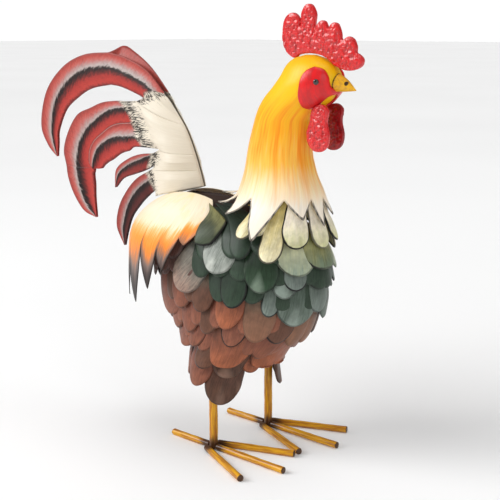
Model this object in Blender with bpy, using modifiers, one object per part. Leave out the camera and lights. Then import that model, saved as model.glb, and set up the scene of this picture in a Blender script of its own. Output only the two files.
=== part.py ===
"""A garden rooster welded from painted sheet steel, standing on feet of round rod.

The rooster faces +X, its left side is +Y and +Z is up. The floor is at Z = 0, and the
middle of its length ends up at X = 0. Up to that last move X = 0 lies just ahead of the legs.
Sizes are millimetres throughout, and MM turns them into metres where a mesh is made.
"""

import math

import bmesh
import bpy
from mathutils import Matrix, Vector

MM = 0.001
GAP = 0.3
SHEET = 1.2
SHARP_ANGLE = math.radians(32)
COLLECTION = "sheet_metal_rooster"

# Level sections of the plumage: height, back, front, half width
PLUMAGE = (
    (40, -50, 16, 60),
    (75, -64, 19, 58),
    (105, -70, 24, 54),
    (120, -72, 36, 53),
    (135, -83, 54, 54),
    (150, -96, 70, 56),
    (170, -111, 84, 57),
    (195, -127, 95, 58),
    (222, -138, 98, 58),
    (248, -142, 94, 54),
    (268, -136, 66, 42),
    (281, -120, 12, 27),
    (288, -98, -30, 11),
)
BODY_INSET = 3.5
BODY_BOTTOM = 110
BODY_ROUND = 15
BODY_LEVELS = (110, 114, 124, 150, 175, 205, 238, 258, 270, 281, 288)
BODY_COLUMNS = 20

# Level sections of the head, neck and skirt
NECK = (
    (232, -30, 108, 70),
    (244, -28, 108.5, 68),
    (255, -25, 108, 65),
    (271, -18, 104.5, 60),
    (285, -9, 100.5, 52),
    (302, -4, 97, 43),
    (325, 2, 88, 34),
    (349, 6, 83, 30),
    (379, 15, 84, 28),
    (392, 20, 94, 27.5),
    (404, 28, 111, 27.5),
    (416, 40, 120.5, 27),
    (428, 50, 122.5, 24.5),
    (438, 56, 117, 20),
    (446, 66, 104, 12),
    (449.5, 79, 93, 3.5),
)
NECK_LEVELS = (303, 326, 352, 378, 396, 411, 424, 436, 445, 449.5)
# Lappets of the hem: angle from the front, height of the tip and flare at the tip
LAPPETS = (
    (0, 268, 3),
    (26, 277, 3),
    (75, 254, 3),
    (116, 276, 8),
    (142, 281, 16),
    (167, 290, 22),
)
LAPPET_STEPS = (-1.0, 0.0)
HEM_VALLEY = 299
HEM_ROWS = 3

EYE_PLACE = (109, 423)
EYE_RADIUS = 3.2
EYE_DEPTH = 1.9
EYE_LIFT = 4.2
# Outline of a face plate seen from the side, about its centre
FACE_CENTRE = (105, 416)
FACE_OUTLINE = (
    (104, 438),
    (94, 430),
    (91, 417),
    (89, 400),
    (92, 394),
    (100, 397),
    (115, 409),
    (119.5, 420),
    (115, 432),
)
FACE_LIFT = 2.4
FACE_DOME = 1.4
FACE_SIDES = 14

BEAK_ROOT = 422
BEAK_TIP = (145.5, 414.5)
BEAK_HALF_HEIGHT = 9
BEAK_HALF_ANGLE = 18
BEAK_LIFT = 0.8
BEAK_SIDES = 12
BEAK_ROWS = 4

# Comb seen from the side: left shoulder, top and right shoulder of each lobe, back to front
COMB_LOBES = (
    ((50, 476), (60, 491), (69, 486)),
    ((76, 494), (83, 500), (90, 493)),
    ((95, 479), (102, 483), (106, 478)),
    ((110, 475), (117, 481), (123, 473)),
    ((129, 464), (136, 467), (143, 459)),
    ((147, 450), (152, 444), (144, 437)),
)
COMB_NOTCHES = ((71.5, 477), (92.5, 475), (107.5, 472), (125.5, 464), (144, 451))
COMB_HALF_THICKNESS = 2.2
COMB_ROUND = 1.3
COMB_LIFT = 3.4

WATTLE_OUTLINE = (
    (102, 392),
    (96, 380),
    (93, 366),
    (99, 355),
    (108, 352),
    (117, 356),
    (120, 366),
    (117, 381),
    (115, 392),
)
WATTLE_OFFSET = 12.5
WATTLE_HALF_THICKNESS = 1.0
WATTLE_ROUND = 1.4

# Tail half seen from the side: the front ridge, and where the sickles leave the pod
TAIL_RIDGE = ((-113, 379), (-99, 362), (-86, 338), (-75, 311), (-70, 296))
TAIL_ROOTS = (
    (-125, 392, 1.6),
    (-141, 397, 8),
    (-183, 389, 2.5),
    (-167, 376, 9),
    (-159, 360, 6),
    (-148, 345, 11),
    (-141, 334, 5),
    (-132, 322, 13),
    (-154, 309, 6),
    (-142, 300, 13),
    (-141, 278, 13),
)
# How far the pod swells between the ridge and each root
POD_BULGES = (0, 5, 10, 13, 15, 16, 17, 17, 17, 17, 15)
# Sickles: places along the midrib from the pod to the tip, each with the distances from the
# midrib to the edges and creases there, upper edge first. The second is two feathers joined.
SICKLES = (
    (
        ((-167, 412), (-14, 0, 19)),
        ((-203, 424), (-17, 0, 20)),
        ((-226, 429), (-17, 0, 22)),
        ((-237, 430), (-17, 0, 23)),
        ((-278, 425), (-19, 0, 25)),
        ((-313, 409), (-22, 0, 25)),
        ((-340, 382), (-25, 0, 20)),
        ((-351, 346), (-25, 0, 12)),
        ((-349, 326), (-14, 0, 8)),
        ((-344, 309), (-0.6, 0, 0.6)),
    ),
    (
        ((-191, 381), (-8, 0, 20, 35, 48)),
        ((-206, 380), (-8, 0, 20, 36, 53)),
        ((-224, 378), (-10, 0, 20, 35, 55)),
        ((-243, 371), (-15, 0, 19, 33, 55)),
        ((-262, 360), (-20, 0, 19, 31, 55)),
        ((-279, 347), (-28, 0, 18, 31, 53)),
        ((-292, 330), (-30, 0, 19, 32, 50)),
        ((-299, 312), (-31, 0, 24, 32, 46)),
        ((-300, 299), (-25, 0, 31, 32, 33)),
        ((-299, 286), (-23, 0, 30)),
        ((-294, 268), (-18, 0, 28)),
        ((-283, 249), (-11, 0, 19)),
        ((-267, 236), (-0.6, 0, 0.6)),
    ),
    (
        ((-156, 325), (-3, 0, 12)),
        ((-178, 318), (-7, 0, 14)),
        ((-199, 310), (-8, 0, 13)),
        ((-219, 297), (-8, 0, 8)),
        ((-228, 279), (-0.6, 0, 0.6)),
    ),
    (
        ((-161, 294), (-12, 0, 14)),
        ((-180, 282), (-14, 0, 14)),
        ((-195, 267), (-15, 0, 13)),
        ((-206, 248), (-17, 0, 9)),
        ((-213, 227), (-14, 0, 7)),
        ((-213, 206), (-0.6, 0, 0.6)),
    ),
)
CREASE = 4.5
EDGE_SPREAD = 1.6
POD_COLUMNS = 5
# The left half's top edge stands open: rise and outward reach from its root onwards
OPEN_EDGE = ((1, 3), (3, 5), (7, 10), (9, 13))

# Saddle plates: a dome over the rump with fingers that hang down
SADDLE_CENTRE = (-75, 225)
SADDLE_RADII = (97, 74, 68)
SADDLE_TOP_WIDTH = 20
SADDLE_TAPER = 0.03
SADDLE_SWEEP = 0.25
SADDLE_SWEEP_HEIGHTS = (200, 285)
SADDLE_FLARE = 4
# Fingers of a saddle plate: angle from the back and height of the tip
FINGERS = ((22, 168), (42, 161), (64, 160), (82, 182), (96, 207), (107, 240))
FINGER_VALLEYS = (225, 205, 205, 233, 233, 250, 268)
FINGER_STEPS = (-1.0, -0.5, 0.0, 0.5)
SADDLE_ROWS = 5

# Top row of feathers, under the hem of the neck: angle from the front and height of each tip
HEM_FEATHERS = ((0, 246), (32, 251), (58, 236), (90, 256))
HEM_FEATHER_TOP = 306
HEM_FEATHER_LIFT = -6.5
HEM_FEATHER_FLARE = 0.06
# Rows of body feathers from the top down, given in the same way
FEATHER_ROWS = (
    ((0, 226), (24, 220), (46, 231), (66, 225), (84, 218)),
    ((0, 203), (25, 201), (49, 201), (75, 204), (99, 196), (122, 193), (145, 190), (168, 187)),
    ((0, 180), (23, 172), (44, 178), (65, 181), (88, 171), (110, 167), (133, 164), (157, 160), (180, 158)),
    ((14, 152), (33, 149), (49, 150), (66, 140), (86, 146), (106, 142), (127, 142), (148, 148), (170, 142)),
    ((0, 104), (32, 126), (58, 113), (78, 104), (101, 128), (126, 128), (152, 122), (180, 116)),
)
ROW_RISES = (44, 46, 48, 50, 50)
FEATHER_LIFT = 0.2
FEATHER_FLARE = 0.21
# Feathers that hang round each leg
THIGH_FEATHERS = ((22, 94), (60, 48), (102, 68), (138, 78))
THIGH_TOP = 126
THIGH_LIFT = 0.6
THIGH_FLARE = 0.04
FEATHER_STEPS = (-1.0, -0.6, 0.0, 0.6)
FEATHER_CROWN = 1.5
FEATHER_TIP = 16
FEATHER_SPANS = 2

FOOT = (-13, 48)
LEG_RADIUS = 5
LEG_TOP = 138
LEG_FOOT = 1
LEG_SIDES = 14
TOE_RADIUS = 3.9
TOE_SIDES = 10
# Toes: start and end beside the leg's axis, with +Y outward from the sculpture's middle
TOES = {
    "back": ((-5.6, 0), (-66, 0)),
    "middle": ((5.6, 0), (106, 0)),
    "inner": ((-2, -9.6), (85, -43.8)),
    "outer": ((-2, 9.6), (85, 47)),
}

PAINTS = {
    "cream_enamel": ((0.86, 0.79, 0.58), 0.35),
    "yellow_enamel": ((0.9, 0.5, 0.04), 0.3),
    "red_enamel": ((0.62, 0.02, 0.02), 0.3),
    "ochre_enamel": ((0.68, 0.42, 0.05), 0.4),
    "black_enamel": ((0.01, 0.01, 0.01), 0.1),
    "green_enamel": ((0.05, 0.1, 0.07), 0.4),
    "brown_enamel": ((0.2, 0.08, 0.05), 0.5),
    "dark_brown_enamel": ((0.05, 0.02, 0.015), 0.6),
    "crimson_enamel": ((0.35, 0.03, 0.03), 0.4),
}


def smooth_value(places, values, place):
    """Reads a curve through the values that never swings past its neighbours."""
    place = min(max(place, places[0]), places[-1])
    count = len(places)
    slopes = [(values[i + 1] - values[i]) / (places[i + 1] - places[i]) for i in range(count - 1)]
    tangents = [slopes[0]]
    for before, after in zip(slopes, slopes[1:]):
        same_way = before * after > 0
        tangents.append(2 * before * after / (before + after) if same_way else 0)
    tangents.append(slopes[-1])
    i = max(k for k in range(count - 1) if places[k] <= place)
    step = places[i + 1] - places[i]
    t = (place - places[i]) / step
    return (
        values[i] * (1 + 2 * t) * (1 - t) ** 2
        + values[i + 1] * t * t * (3 - 2 * t)
        + step * (tangents[i] * t * (1 - t) ** 2 + tangents[i + 1] * t * t * (t - 1))
    )


def straight_value(places, values, place):
    """Reads the broken line through the values, level beyond both ends."""
    if place <= places[0]:
        return values[0]
    for i in range(len(places) - 1):
        if place <= places[i + 1]:
            t = (place - places[i]) / (places[i + 1] - places[i])
            return values[i] + t * (values[i + 1] - values[i])
    return values[-1]


def spline_points(points, count):
    """Reads evenly spaced points from the smooth curve through the given points."""
    steps = [0.0]
    for a, b in zip(points, points[1:]):
        steps.append(steps[-1] + math.dist(a, b))
    axes = list(zip(*points))
    ends = [steps[-1] * i / (count - 1) for i in range(count)]
    return [tuple(smooth_value(steps, axis, end) for axis in axes) for end in ends]


class Sections:
    """A surface of level ellipses read from rows of height, back, front and half width."""

    def __init__(self, rows):
        self.heights, self.backs, self.fronts, self.widths = zip(*rows)

    def section(self, height):
        """Gives the centre, half length and half width at a height."""
        back = smooth_value(self.heights, self.backs, height)
        front = smooth_value(self.heights, self.fronts, height)
        width = smooth_value(self.heights, self.widths, height)
        return (front + back) / 2, (front - back) / 2, width

    def bare(self, angle, height):
        """Gives the surface point at an angle from the front and a height."""
        centre, length, width = self.section(height)
        return Vector((centre + length * math.cos(angle), width * math.sin(angle), height))

    def normal(self, angle, height):
        """Gives the outward direction of the surface."""
        low, high = max(height - 1, self.heights[0]), min(height + 1, self.heights[-1])
        along = self.bare(angle + 0.01, height) - self.bare(angle - 0.01, height)
        up = self.bare(angle, high) - self.bare(angle, low)
        return along.cross(up).normalized()

    def point(self, angle, height, lift=0.0):
        """Gives the point lifted off the surface along its outward direction."""
        return self.bare(angle, height) + lift * self.normal(angle, height)

    def angle_at(self, x, height):
        """Gives the angle at which the surface stands at X on its left side."""
        centre, length, _ = self.section(height)
        return math.acos(min(max((x - centre) / length, -1), 1))


def clear_scene():
    """Removes every object and collection left in the scene."""
    for thing in list(bpy.data.objects):
        bpy.data.objects.remove(thing, do_unlink=True)
    for group in list(bpy.data.collections):
        bpy.data.collections.remove(group)


def make_paint(name):
    """Makes the painted finish of one sub-part."""
    colour, roughness = PAINTS[name]
    paint = bpy.data.materials.get(name)
    if paint is None:
        paint = bpy.data.materials.new(name)
        paint.use_nodes = True
        shader = paint.node_tree.nodes["Principled BSDF"]
        shader.inputs["Base Color"].default_value = (*colour, 1)
        shader.inputs["Roughness"].default_value = roughness
        shader.inputs["Metallic"].default_value = 0
    return paint


def add_object(name, data, paint, group):
    """Adds an object that holds the data, painted, to a collection."""
    thing = bpy.data.objects.new(name, data)
    group.objects.link(thing)
    if paint:
        thing.data.materials.append(make_paint(paint))
    return thing


def add_mesh(name, points, faces, paint, group):
    """Adds a mesh object from points in millimetres and faces."""
    mesh = bpy.data.meshes.new(name)
    mesh.from_pydata([Vector(p) * MM for p in points], [], faces)
    mesh.validate()
    thing = add_object(name, mesh, paint, group)
    mesh.shade_smooth()
    mesh.set_sharp_from_angle(angle=SHARP_ANGLE)
    return thing


def grid_faces(rows, columns, closed=False, start=0):
    """Gives the four-sided faces of a grid of rows by columns, closed round the columns or not."""
    faces = []
    spans = columns if closed else columns - 1
    for r in range(rows - 1):
        for c in range(spans):
            after = (c + 1) % columns
            low, high = start + r * columns, start + (r + 1) * columns
            faces.append((low + c, low + after, high + after, high + c))
    return faces


def solidify(thing, thickness, offset):
    """Gives an open surface its sheet thickness, inward for -1 or outward for 1."""
    shell = thing.modifiers.new("Sheet", "SOLIDIFY")
    shell.thickness = thickness * MM
    shell.offset = offset
    shell.use_even_offset = False
    return shell


def add_cylinder(name, start, end, radius, sides, paint, group):
    """Adds a round rod between two points, with a flat facet turned to the floor."""
    start, end = Vector(start), Vector(end)
    length = (end - start).length
    mesh = bpy.data.meshes.new(name)
    shape = bmesh.new()
    bmesh.ops.create_cone(
        shape, cap_ends=True, segments=sides, radius1=radius * MM, radius2=radius * MM, depth=length * MM
    )
    bmesh.ops.rotate(shape, verts=shape.verts, matrix=Matrix.Rotation(math.pi / sides, 3, "Z"))
    shape.to_mesh(mesh)
    shape.free()
    rod = add_object(name, mesh, paint, group)
    rod.rotation_mode = "QUATERNION"
    rod.rotation_quaternion = (end - start).to_track_quat("Z", "Y")
    rod.location = (start + end) / 2 * MM
    mesh.shade_smooth()
    mesh.set_sharp_from_angle(angle=SHARP_ANGLE)
    return rod


def build_body(group, cutters):
    """Makes the sealed body shell, with a socket for each leg."""
    plumage = Sections(PLUMAGE)
    points = []
    for height in BODY_LEVELS:
        centre, length, width = plumage.section(height)
        drop = max(0.0, BODY_BOTTOM + BODY_ROUND - height) / BODY_ROUND
        scale = math.sqrt(max(1 - drop * drop, 0.0)) * 0.3 + 0.7
        for c in range(BODY_COLUMNS):
            angle = 2 * math.pi * c / BODY_COLUMNS
            x = centre + (length - BODY_INSET) * scale * math.cos(angle)
            y = (width - BODY_INSET) * scale * math.sin(angle)
            points.append((x, y, height))
    rows = len(BODY_LEVELS)
    faces = grid_faces(rows, BODY_COLUMNS, closed=True)
    faces.append(tuple(reversed(range(BODY_COLUMNS))))
    faces.append(tuple(range((rows - 1) * BODY_COLUMNS, rows * BODY_COLUMNS)))
    body = add_mesh("body_shell", points, faces, "dark_brown_enamel", group)
    for side, sign in (("left", 1), ("right", -1)):
        foot = (FOOT[0], sign * FOOT[1])
        cutter = add_cylinder(
            f"leg_socket_{side}", (*foot, BODY_BOTTOM - 20), (*foot, LEG_TOP + GAP),
            LEG_RADIUS + GAP + 0.2, LEG_SIDES, None, cutters,
        )
        cutter.hide_render = True
        cutter.display_type = "WIRE"
        socket = body.modifiers.new(f"Socket {side}", "BOOLEAN")
        socket.operation = "DIFFERENCE"
        socket.object = cutter
    return body


def mirrored(places):
    """Repeats places given for the left side on the right, and sorts them round the body."""
    both = [(sign * place[0], *place[1:]) for place in places for sign in (-1, 1)]
    return sorted({p for p in both if p[0] > -179.9})


def scallop(steps, tips, closed):
    """Lays columns over each tip of a hem.

    Gives for each column the angle, the place across its own tip from -1 to 1, the tip's
    index and the next tip's index, between which the column lies.
    """
    columns = []
    count = len(tips)
    for i, tip in enumerate(tips):
        before = tips[i - 1][0] - (360 if i == 0 else 0)
        after = tips[(i + 1) % count][0] + (360 if i == count - 1 else 0)
        left, right = (before + tip[0]) / 2, (after + tip[0]) / 2
        if not closed and i == 0:
            left = tip[0] - (right - tip[0])
        if not closed and i == count - 1:
            right = tip[0] + (tip[0] - left)
        for u in steps:
            angle = tip[0] + u * ((right - tip[0]) if u > 0 else (tip[0] - left))
            columns.append((angle, u, i))
    if not closed:
        columns.append((right, 1.0, count - 1))
    return columns


def build_neck(group):
    """Makes the hollow head and neck, open below, with a hem of pointed lappets."""
    neck = Sections(NECK)
    tips = mirrored(LAPPETS)
    columns = scallop(LAPPET_STEPS, tips, closed=True)
    points = []
    for r in range(HEM_ROWS):
        t = 1 - r / HEM_ROWS
        for angle, u, i in columns:
            _, tip, flare = tips[i]
            hem = tip + (HEM_VALLEY - tip) * abs(u) ** 0.9
            height = NECK_LEVELS[0] + (hem - NECK_LEVELS[0]) * t
            reach = (NECK_LEVELS[0] - height) / (NECK_LEVELS[0] - tip)
            lift = flare * reach**2
            points.append(neck.point(math.radians(angle), height, lift))
    for height in NECK_LEVELS:
        for angle, _, _ in columns:
            points.append(neck.bare(math.radians(angle), height))
    rows = HEM_ROWS + len(NECK_LEVELS)
    count = len(columns)
    faces = grid_faces(rows, count, closed=True)
    faces.append(tuple(range((rows - 1) * count, rows * count)))
    shell = add_mesh("neck_and_head", points, faces, "yellow_enamel", group)
    solidify(shell, SHEET, -1)
    return shell


def build_face(side, sign, group):
    """Makes one raised face plate, curved to the head."""
    neck = Sections(NECK)
    centre = FACE_CENTRE
    closed = FACE_OUTLINE + FACE_OUTLINE[:1]
    rim = spline_points(closed, FACE_SIDES + 1)[:-1]
    points = []
    rings = (1.0, 0.8, 0.4)
    for ring in rings:
        for x, z in rim:
            place = (centre[0] + ring * (x - centre[0]), centre[1] + ring * (z - centre[1]))
            lift = FACE_LIFT + FACE_DOME * (1 - ring**2)
            points.append(neck.point(sign * neck.angle_at(*place), place[1], lift))
    points.append(neck.point(sign * neck.angle_at(*centre), centre[1], FACE_LIFT + FACE_DOME))
    faces = grid_faces(len(rings), FACE_SIDES, closed=True)
    last = (len(rings) - 1) * FACE_SIDES
    for c in range(FACE_SIDES):
        faces.append((last + c, last + (c + 1) % FACE_SIDES, len(points) - 1))
    if sign > 0:
        faces = [tuple(reversed(face)) for face in faces]
    plate = add_mesh(f"face_plate_{side}", points, faces, "red_enamel", group)
    solidify(plate, SHEET, -1)
    eye_angle = sign * neck.angle_at(*EYE_PLACE)
    mesh = bpy.data.meshes.new(f"eye_{side}")
    shape = bmesh.new()
    bmesh.ops.create_uvsphere(shape, u_segments=8, v_segments=5, radius=EYE_RADIUS * MM)
    bmesh.ops.scale(shape, verts=shape.verts, vec=(1, 1, EYE_DEPTH / EYE_RADIUS))
    shape.to_mesh(mesh)
    shape.free()
    mesh.shade_smooth()
    eye = add_object(f"eye_{side}", mesh, "black_enamel", group)
    outward = neck.normal(eye_angle, EYE_PLACE[1])
    eye.rotation_mode = "QUATERNION"
    eye.rotation_quaternion = outward.to_track_quat("Z", "Y")
    eye.location = neck.point(eye_angle, EYE_PLACE[1], EYE_LIFT + EYE_DEPTH) * MM
    return plate


def build_beak(group):
    """Makes the folded cone of the beak, its back laid against the head."""
    neck = Sections(NECK)
    ring = []
    for c in range(BEAK_SIDES):
        turn = 2 * math.pi * c / BEAK_SIDES
        ring.append((math.radians(BEAK_HALF_ANGLE) * math.sin(turn), BEAK_HALF_HEIGHT * math.cos(turn)))
    points = []
    for scale in (0.5, 1.0):
        for angle, rise in ring:
            points.append(neck.point(angle * scale, BEAK_ROOT + rise * scale, BEAK_LIFT))
    root = points[-BEAK_SIDES:]
    tip = Vector((BEAK_TIP[0], 0, BEAK_TIP[1]))
    for r in range(1, BEAK_ROWS):
        t = r / BEAK_ROWS
        bow = 2.2 * math.sin(math.pi * t)
        for place in root:
            lifted = place.lerp(tip, t)
            lifted.z += bow * (1 if place.z > BEAK_ROOT else -0.2)
            points.append(lifted)
    back = neck.point(0, BEAK_ROOT, BEAK_LIFT)
    points += [tip, back]
    rows = BEAK_ROWS + 1
    faces = grid_faces(rows, BEAK_SIDES, closed=True)
    last = (rows - 1) * BEAK_SIDES
    for c in range(BEAK_SIDES):
        after = (c + 1) % BEAK_SIDES
        faces.append((last + c, last + after, len(points) - 2))
        faces.append((after, c, len(points) - 1))
    faces = [tuple(reversed(face)) for face in faces]
    return add_mesh("beak", points, faces, "ochre_enamel", group)


def flat_plate(name, outline, half_thickness, rounding, paint, group):
    """Makes an upright plate from a closed outline in X and Z, with rounded edges."""
    curve = bpy.data.curves.new(name, "CURVE")
    curve.dimensions = "2D"
    curve.fill_mode = "BOTH"
    curve.extrude = half_thickness * MM
    curve.bevel_depth = rounding * MM
    curve.bevel_resolution = 0
    curve.resolution_u = 2
    spline = curve.splines.new("BEZIER")
    spline.bezier_points.add(len(outline) - 1)
    for point, place in zip(spline.bezier_points, outline):
        point.co = (place[0] * MM, place[1] * MM, 0)
        point.handle_left_type = "AUTO"
        point.handle_right_type = "AUTO"
    spline.use_cyclic_u = True
    plate = add_object(name, curve, paint, group)
    plate.rotation_euler = (math.radians(90), 0, 0)
    return plate


def build_comb(group):
    """Makes the comb with its six lobes, its foot following the top of the head."""
    neck = Sections(NECK)
    outline = []
    for i, lobe in enumerate(COMB_LOBES):
        outline.extend(lobe)
        if i < len(COMB_NOTCHES):
            outline.append(COMB_NOTCHES[i])
    for angle, height in ((0, 438), (0, 444), (0, 448), (math.pi, 448), (math.pi, 445)):
        place = neck.point(angle, height, COMB_LIFT)
        outline.append((place.x, place.z))
    return flat_plate("comb", outline, COMB_HALF_THICKNESS, COMB_ROUND, "red_enamel", group)


def build_wattle(side, sign, group):
    """Makes one long embossed wattle."""
    wattle = flat_plate(
        f"wattle_{side}", WATTLE_OUTLINE, WATTLE_HALF_THICKNESS, WATTLE_ROUND, "red_enamel", group
    )
    wattle.location.y = sign * WATTLE_OFFSET * MM
    return wattle


def sickle_rows(stations):
    """Gives the points across one sickle at each of its stations, in X and Z."""
    rows = []
    for i, (place, reaches) in enumerate(stations):
        before = stations[max(i - 1, 0)][0]
        after = stations[min(i + 1, len(stations) - 1)][0]
        along = Vector((after[0] - before[0], after[1] - before[1])).normalized()
        inward = Vector((-along.y, along.x))
        rows.append([Vector(place) + inward * reach for reach in reaches])
    return rows


def pod_points(opened):
    """Gives the points of one pod half from the ridge to the roots, on the left side."""
    ridge = spline_points(TAIL_RIDGE, len(TAIL_ROOTS))
    points = []
    for j, (front, root) in enumerate(zip(ridge, TAIL_ROOTS)):
        rise, reach = OPEN_EDGE[0] if opened and j == 0 else (0, 0)
        for c in range(POD_COLUMNS):
            t = c / (POD_COLUMNS - 1)
            x = front[0] + (root[0] - front[0]) * t
            z = front[1] + (root[1] + rise - front[1]) * t
            y = EDGE_SPREAD + (root[2] + reach - EDGE_SPREAD) * t + POD_BULGES[j] * math.sin(math.pi * t) ** 0.8
            points.append((x, y, z))
    return points


def build_tail(side, sign, group):
    """Makes one half of the tail: its part of the hollow pod and the creased sickles."""
    opened = sign > 0
    points = pod_points(opened)
    faces = grid_faces(len(TAIL_ROOTS), POD_COLUMNS)
    first_root = 0
    for k, stations in enumerate(SICKLES):
        across = len(stations[0][1])
        before = [(first_root + c) * POD_COLUMNS + POD_COLUMNS - 1 for c in range(across)]
        first_root += across - 1
        for i, row in enumerate(sickle_rows(stations)):
            first = len(points)
            narrowing = 1 - ((i + 1) / len(stations)) ** 3
            for c, place in enumerate(row):
                rise, reach = OPEN_EDGE[i + 1] if opened and k + c == 0 and i + 1 < len(OPEN_EDGE) else (0, 0)
                crease = CREASE * narrowing if c % 2 else 0
                points.append((place.x, EDGE_SPREAD + crease + reach, place.y + rise))
            for c in range(min(len(row), len(before)) - 1):
                faces.append((before[c + 1], before[c], first + c, first + c + 1))
            before = list(range(first, len(points)))
    points = [(x, sign * y, z) for x, y, z in points]
    if sign > 0:
        faces = [tuple(reversed(face)) for face in faces]
    half = add_mesh(f"tail_{side}", points, faces, "crimson_enamel", group)
    solidify(half, SHEET, -1)
    return half


def saddle_point(angle, height, flare):
    """Gives a point of the saddle dome on the left side, at an angle from the back."""
    rise = (height - SADDLE_CENTRE[1]) / SADDLE_RADII[2]
    if rise > 0:
        scale = math.sqrt(max(1 - rise * rise, 0.0))
    else:
        scale = 1 - SADDLE_TAPER * rise * rise
    x = SADDLE_CENTRE[0] - (SADDLE_RADII[0] * scale + flare) * math.cos(angle)
    y = (SADDLE_RADII[1] * scale + flare) * math.sin(angle)
    return Vector((x, y, height))


def saddle_turn(angle, height):
    """Gives the angle of a column at a height: the front columns sweep forward as they rise."""
    low, high = SADDLE_SWEEP_HEIGHTS
    rise = min(max((height - low) / (high - low), 0), 1)
    return angle * (1 + SADDLE_SWEEP * rise**2 * (angle / FINGERS[-1][0]) ** 2)


def build_saddle(side, sign, group):
    """Makes one domed saddle plate with its hanging fingers."""
    columns = scallop(FINGER_STEPS, FINGERS, closed=False)
    points = []
    for r in range(SADDLE_ROWS):
        t = r / (SADDLE_ROWS - 1)
        for angle, u, i in columns:
            top_turn = math.radians(saddle_turn(angle, SADDLE_SWEEP_HEIGHTS[1]))
            top_scale = min(SADDLE_TOP_WIDTH / (SADDLE_RADII[1] * math.sin(top_turn)), 0.97)
            top = SADDLE_CENTRE[1] + SADDLE_RADII[2] * math.sqrt(1 - top_scale**2)
            valley = FINGER_VALLEYS[i + (1 if u > 0 else 0)]
            tip = FINGERS[i][1]
            hem = tip + (valley - tip) * math.asin(abs(u)) * 2 / math.pi
            height = hem + (top - hem) * math.sin(math.pi / 2 * t)
            flare = SADDLE_FLARE * (1 - t) ** 2
            place = saddle_point(math.radians(saddle_turn(angle, height)), height, flare)
            points.append((place.x, sign * place.y, place.z))
    faces = grid_faces(SADDLE_ROWS, len(columns))
    if sign > 0:
        faces = [tuple(reversed(face)) for face in faces]
    plate = add_mesh(f"saddle_plate_{side}", points, faces, "cream_enamel", group)
    solidify(plate, SHEET, -1)
    return plate


def feather_row(name, bed, tips, closed, roots, lift, flare, paint, group):
    """Makes one row of rounded feathers on a bed, joined at their roots and flared at their tips.

    The roots stand at one height, or as far above the tips as a negative number says.
    """
    columns = scallop(FEATHER_STEPS, tips, closed)
    angles = [tip[0] for tip in tips]
    heights = [tip[1] for tip in tips]
    if closed:
        angles = [angles[-1] - 360, *angles, angles[0] + 360]
        heights = [heights[-1], *heights, heights[0]]
    points = []
    for r in range(FEATHER_SPANS + 1):
        t = 1 - r / FEATHER_SPANS
        for angle, u, i in columns:
            tip_line = straight_value(angles, heights, angle)
            root = roots if roots > 0 else min(tip_line - roots, bed.heights[-1])
            edge = tip_line * abs(u) ** 3 + tips[i][1] * (1 - abs(u) ** 3)
            hem = edge + FEATHER_TIP * (1 - math.sqrt(1 - min(u * u, 1)))
            height = root + (hem - root) * t
            away = lift + flare * (root - height) + FEATHER_CROWN * (1 - u * u) * t
            points.append(bed.point(math.radians(angle), height, away))
    faces = grid_faces(FEATHER_SPANS + 1, len(columns), closed)
    row = add_mesh(name, points, faces, paint, group)
    solidify(row, SHEET, 1)
    return row


def build_feathers(group):
    """Makes the rows of body feathers and the feathers that hang round each leg."""
    plumage = Sections(PLUMAGE)
    feather_row(
        "feathers_row_1", Sections(NECK), mirrored(HEM_FEATHERS), False, HEM_FEATHER_TOP,
        HEM_FEATHER_LIFT, HEM_FEATHER_FLARE, "cream_enamel", group,
    )
    paints = ("green_enamel", "green_enamel", "green_enamel", "brown_enamel", "brown_enamel")
    for k, (tips, rise) in enumerate(zip(FEATHER_ROWS, ROW_RISES)):
        feather_row(
            f"feathers_row_{k + 2}", plumage, mirrored(tips), tips[-1][0] > 150, -rise,
            FEATHER_LIFT, FEATHER_FLARE, paints[k], group,
        )
    for side, sign in (("left", 1), ("right", -1)):
        tips = sorted((sign * angle, tip) for angle, tip in THIGH_FEATHERS)
        feather_row(
            f"thigh_feathers_{side}", plumage, tips, False, THIGH_TOP,
            THIGH_LIFT, THIGH_FLARE, "brown_enamel", group,
        )


def build_leg(side, sign, group):
    """Makes one leg of round rod and the four toes welded round its foot."""
    foot = (FOOT[0], sign * FOOT[1])
    add_cylinder(
        f"leg_{side}", (*foot, LEG_FOOT), (*foot, LEG_TOP), LEG_RADIUS, LEG_SIDES, "ochre_enamel", group
    )
    height = TOE_RADIUS * math.cos(math.pi / TOE_SIDES)
    for name, (start, end) in TOES.items():
        ends = [(foot[0] + x, foot[1] + sign * y, height) for x, y in (start, end)]
        add_cylinder(f"toe_{side}_{name}", *ends, TOE_RADIUS, TOE_SIDES, "ochre_enamel", group)


def centre_length(group, cutters):
    """Moves everything along X so that the middle of the rooster's length stands at X = 0."""
    bpy.context.view_layer.update()
    graph = bpy.context.evaluated_depsgraph_get()
    reaches = []
    for thing in group.objects:
        solid = thing.evaluated_get(graph)
        reaches += [(solid.matrix_world @ vertex.co).x for vertex in solid.to_mesh().vertices]
        solid.to_mesh_clear()
    middle = (min(reaches) + max(reaches)) / 2
    for thing in [*group.objects, *cutters.objects]:
        thing.location.x -= middle


def main():
    """Builds the whole rooster."""
    clear_scene()
    group = bpy.data.collections.new(COLLECTION)
    cutters = bpy.data.collections.new("cutters")
    bpy.context.scene.collection.children.link(group)
    bpy.context.scene.collection.children.link(cutters)
    build_body(group, cutters)
    build_neck(group)
    build_comb(group)
    build_beak(group)
    build_feathers(group)
    for side, sign in (("left", 1), ("right", -1)):
        build_face(side, sign, group)
        build_wattle(side, sign, group)
        build_tail(side, sign, group)
        build_saddle(side, sign, group)
        build_leg(side, sign, group)
    centre_length(group, cutters)


main()
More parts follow.
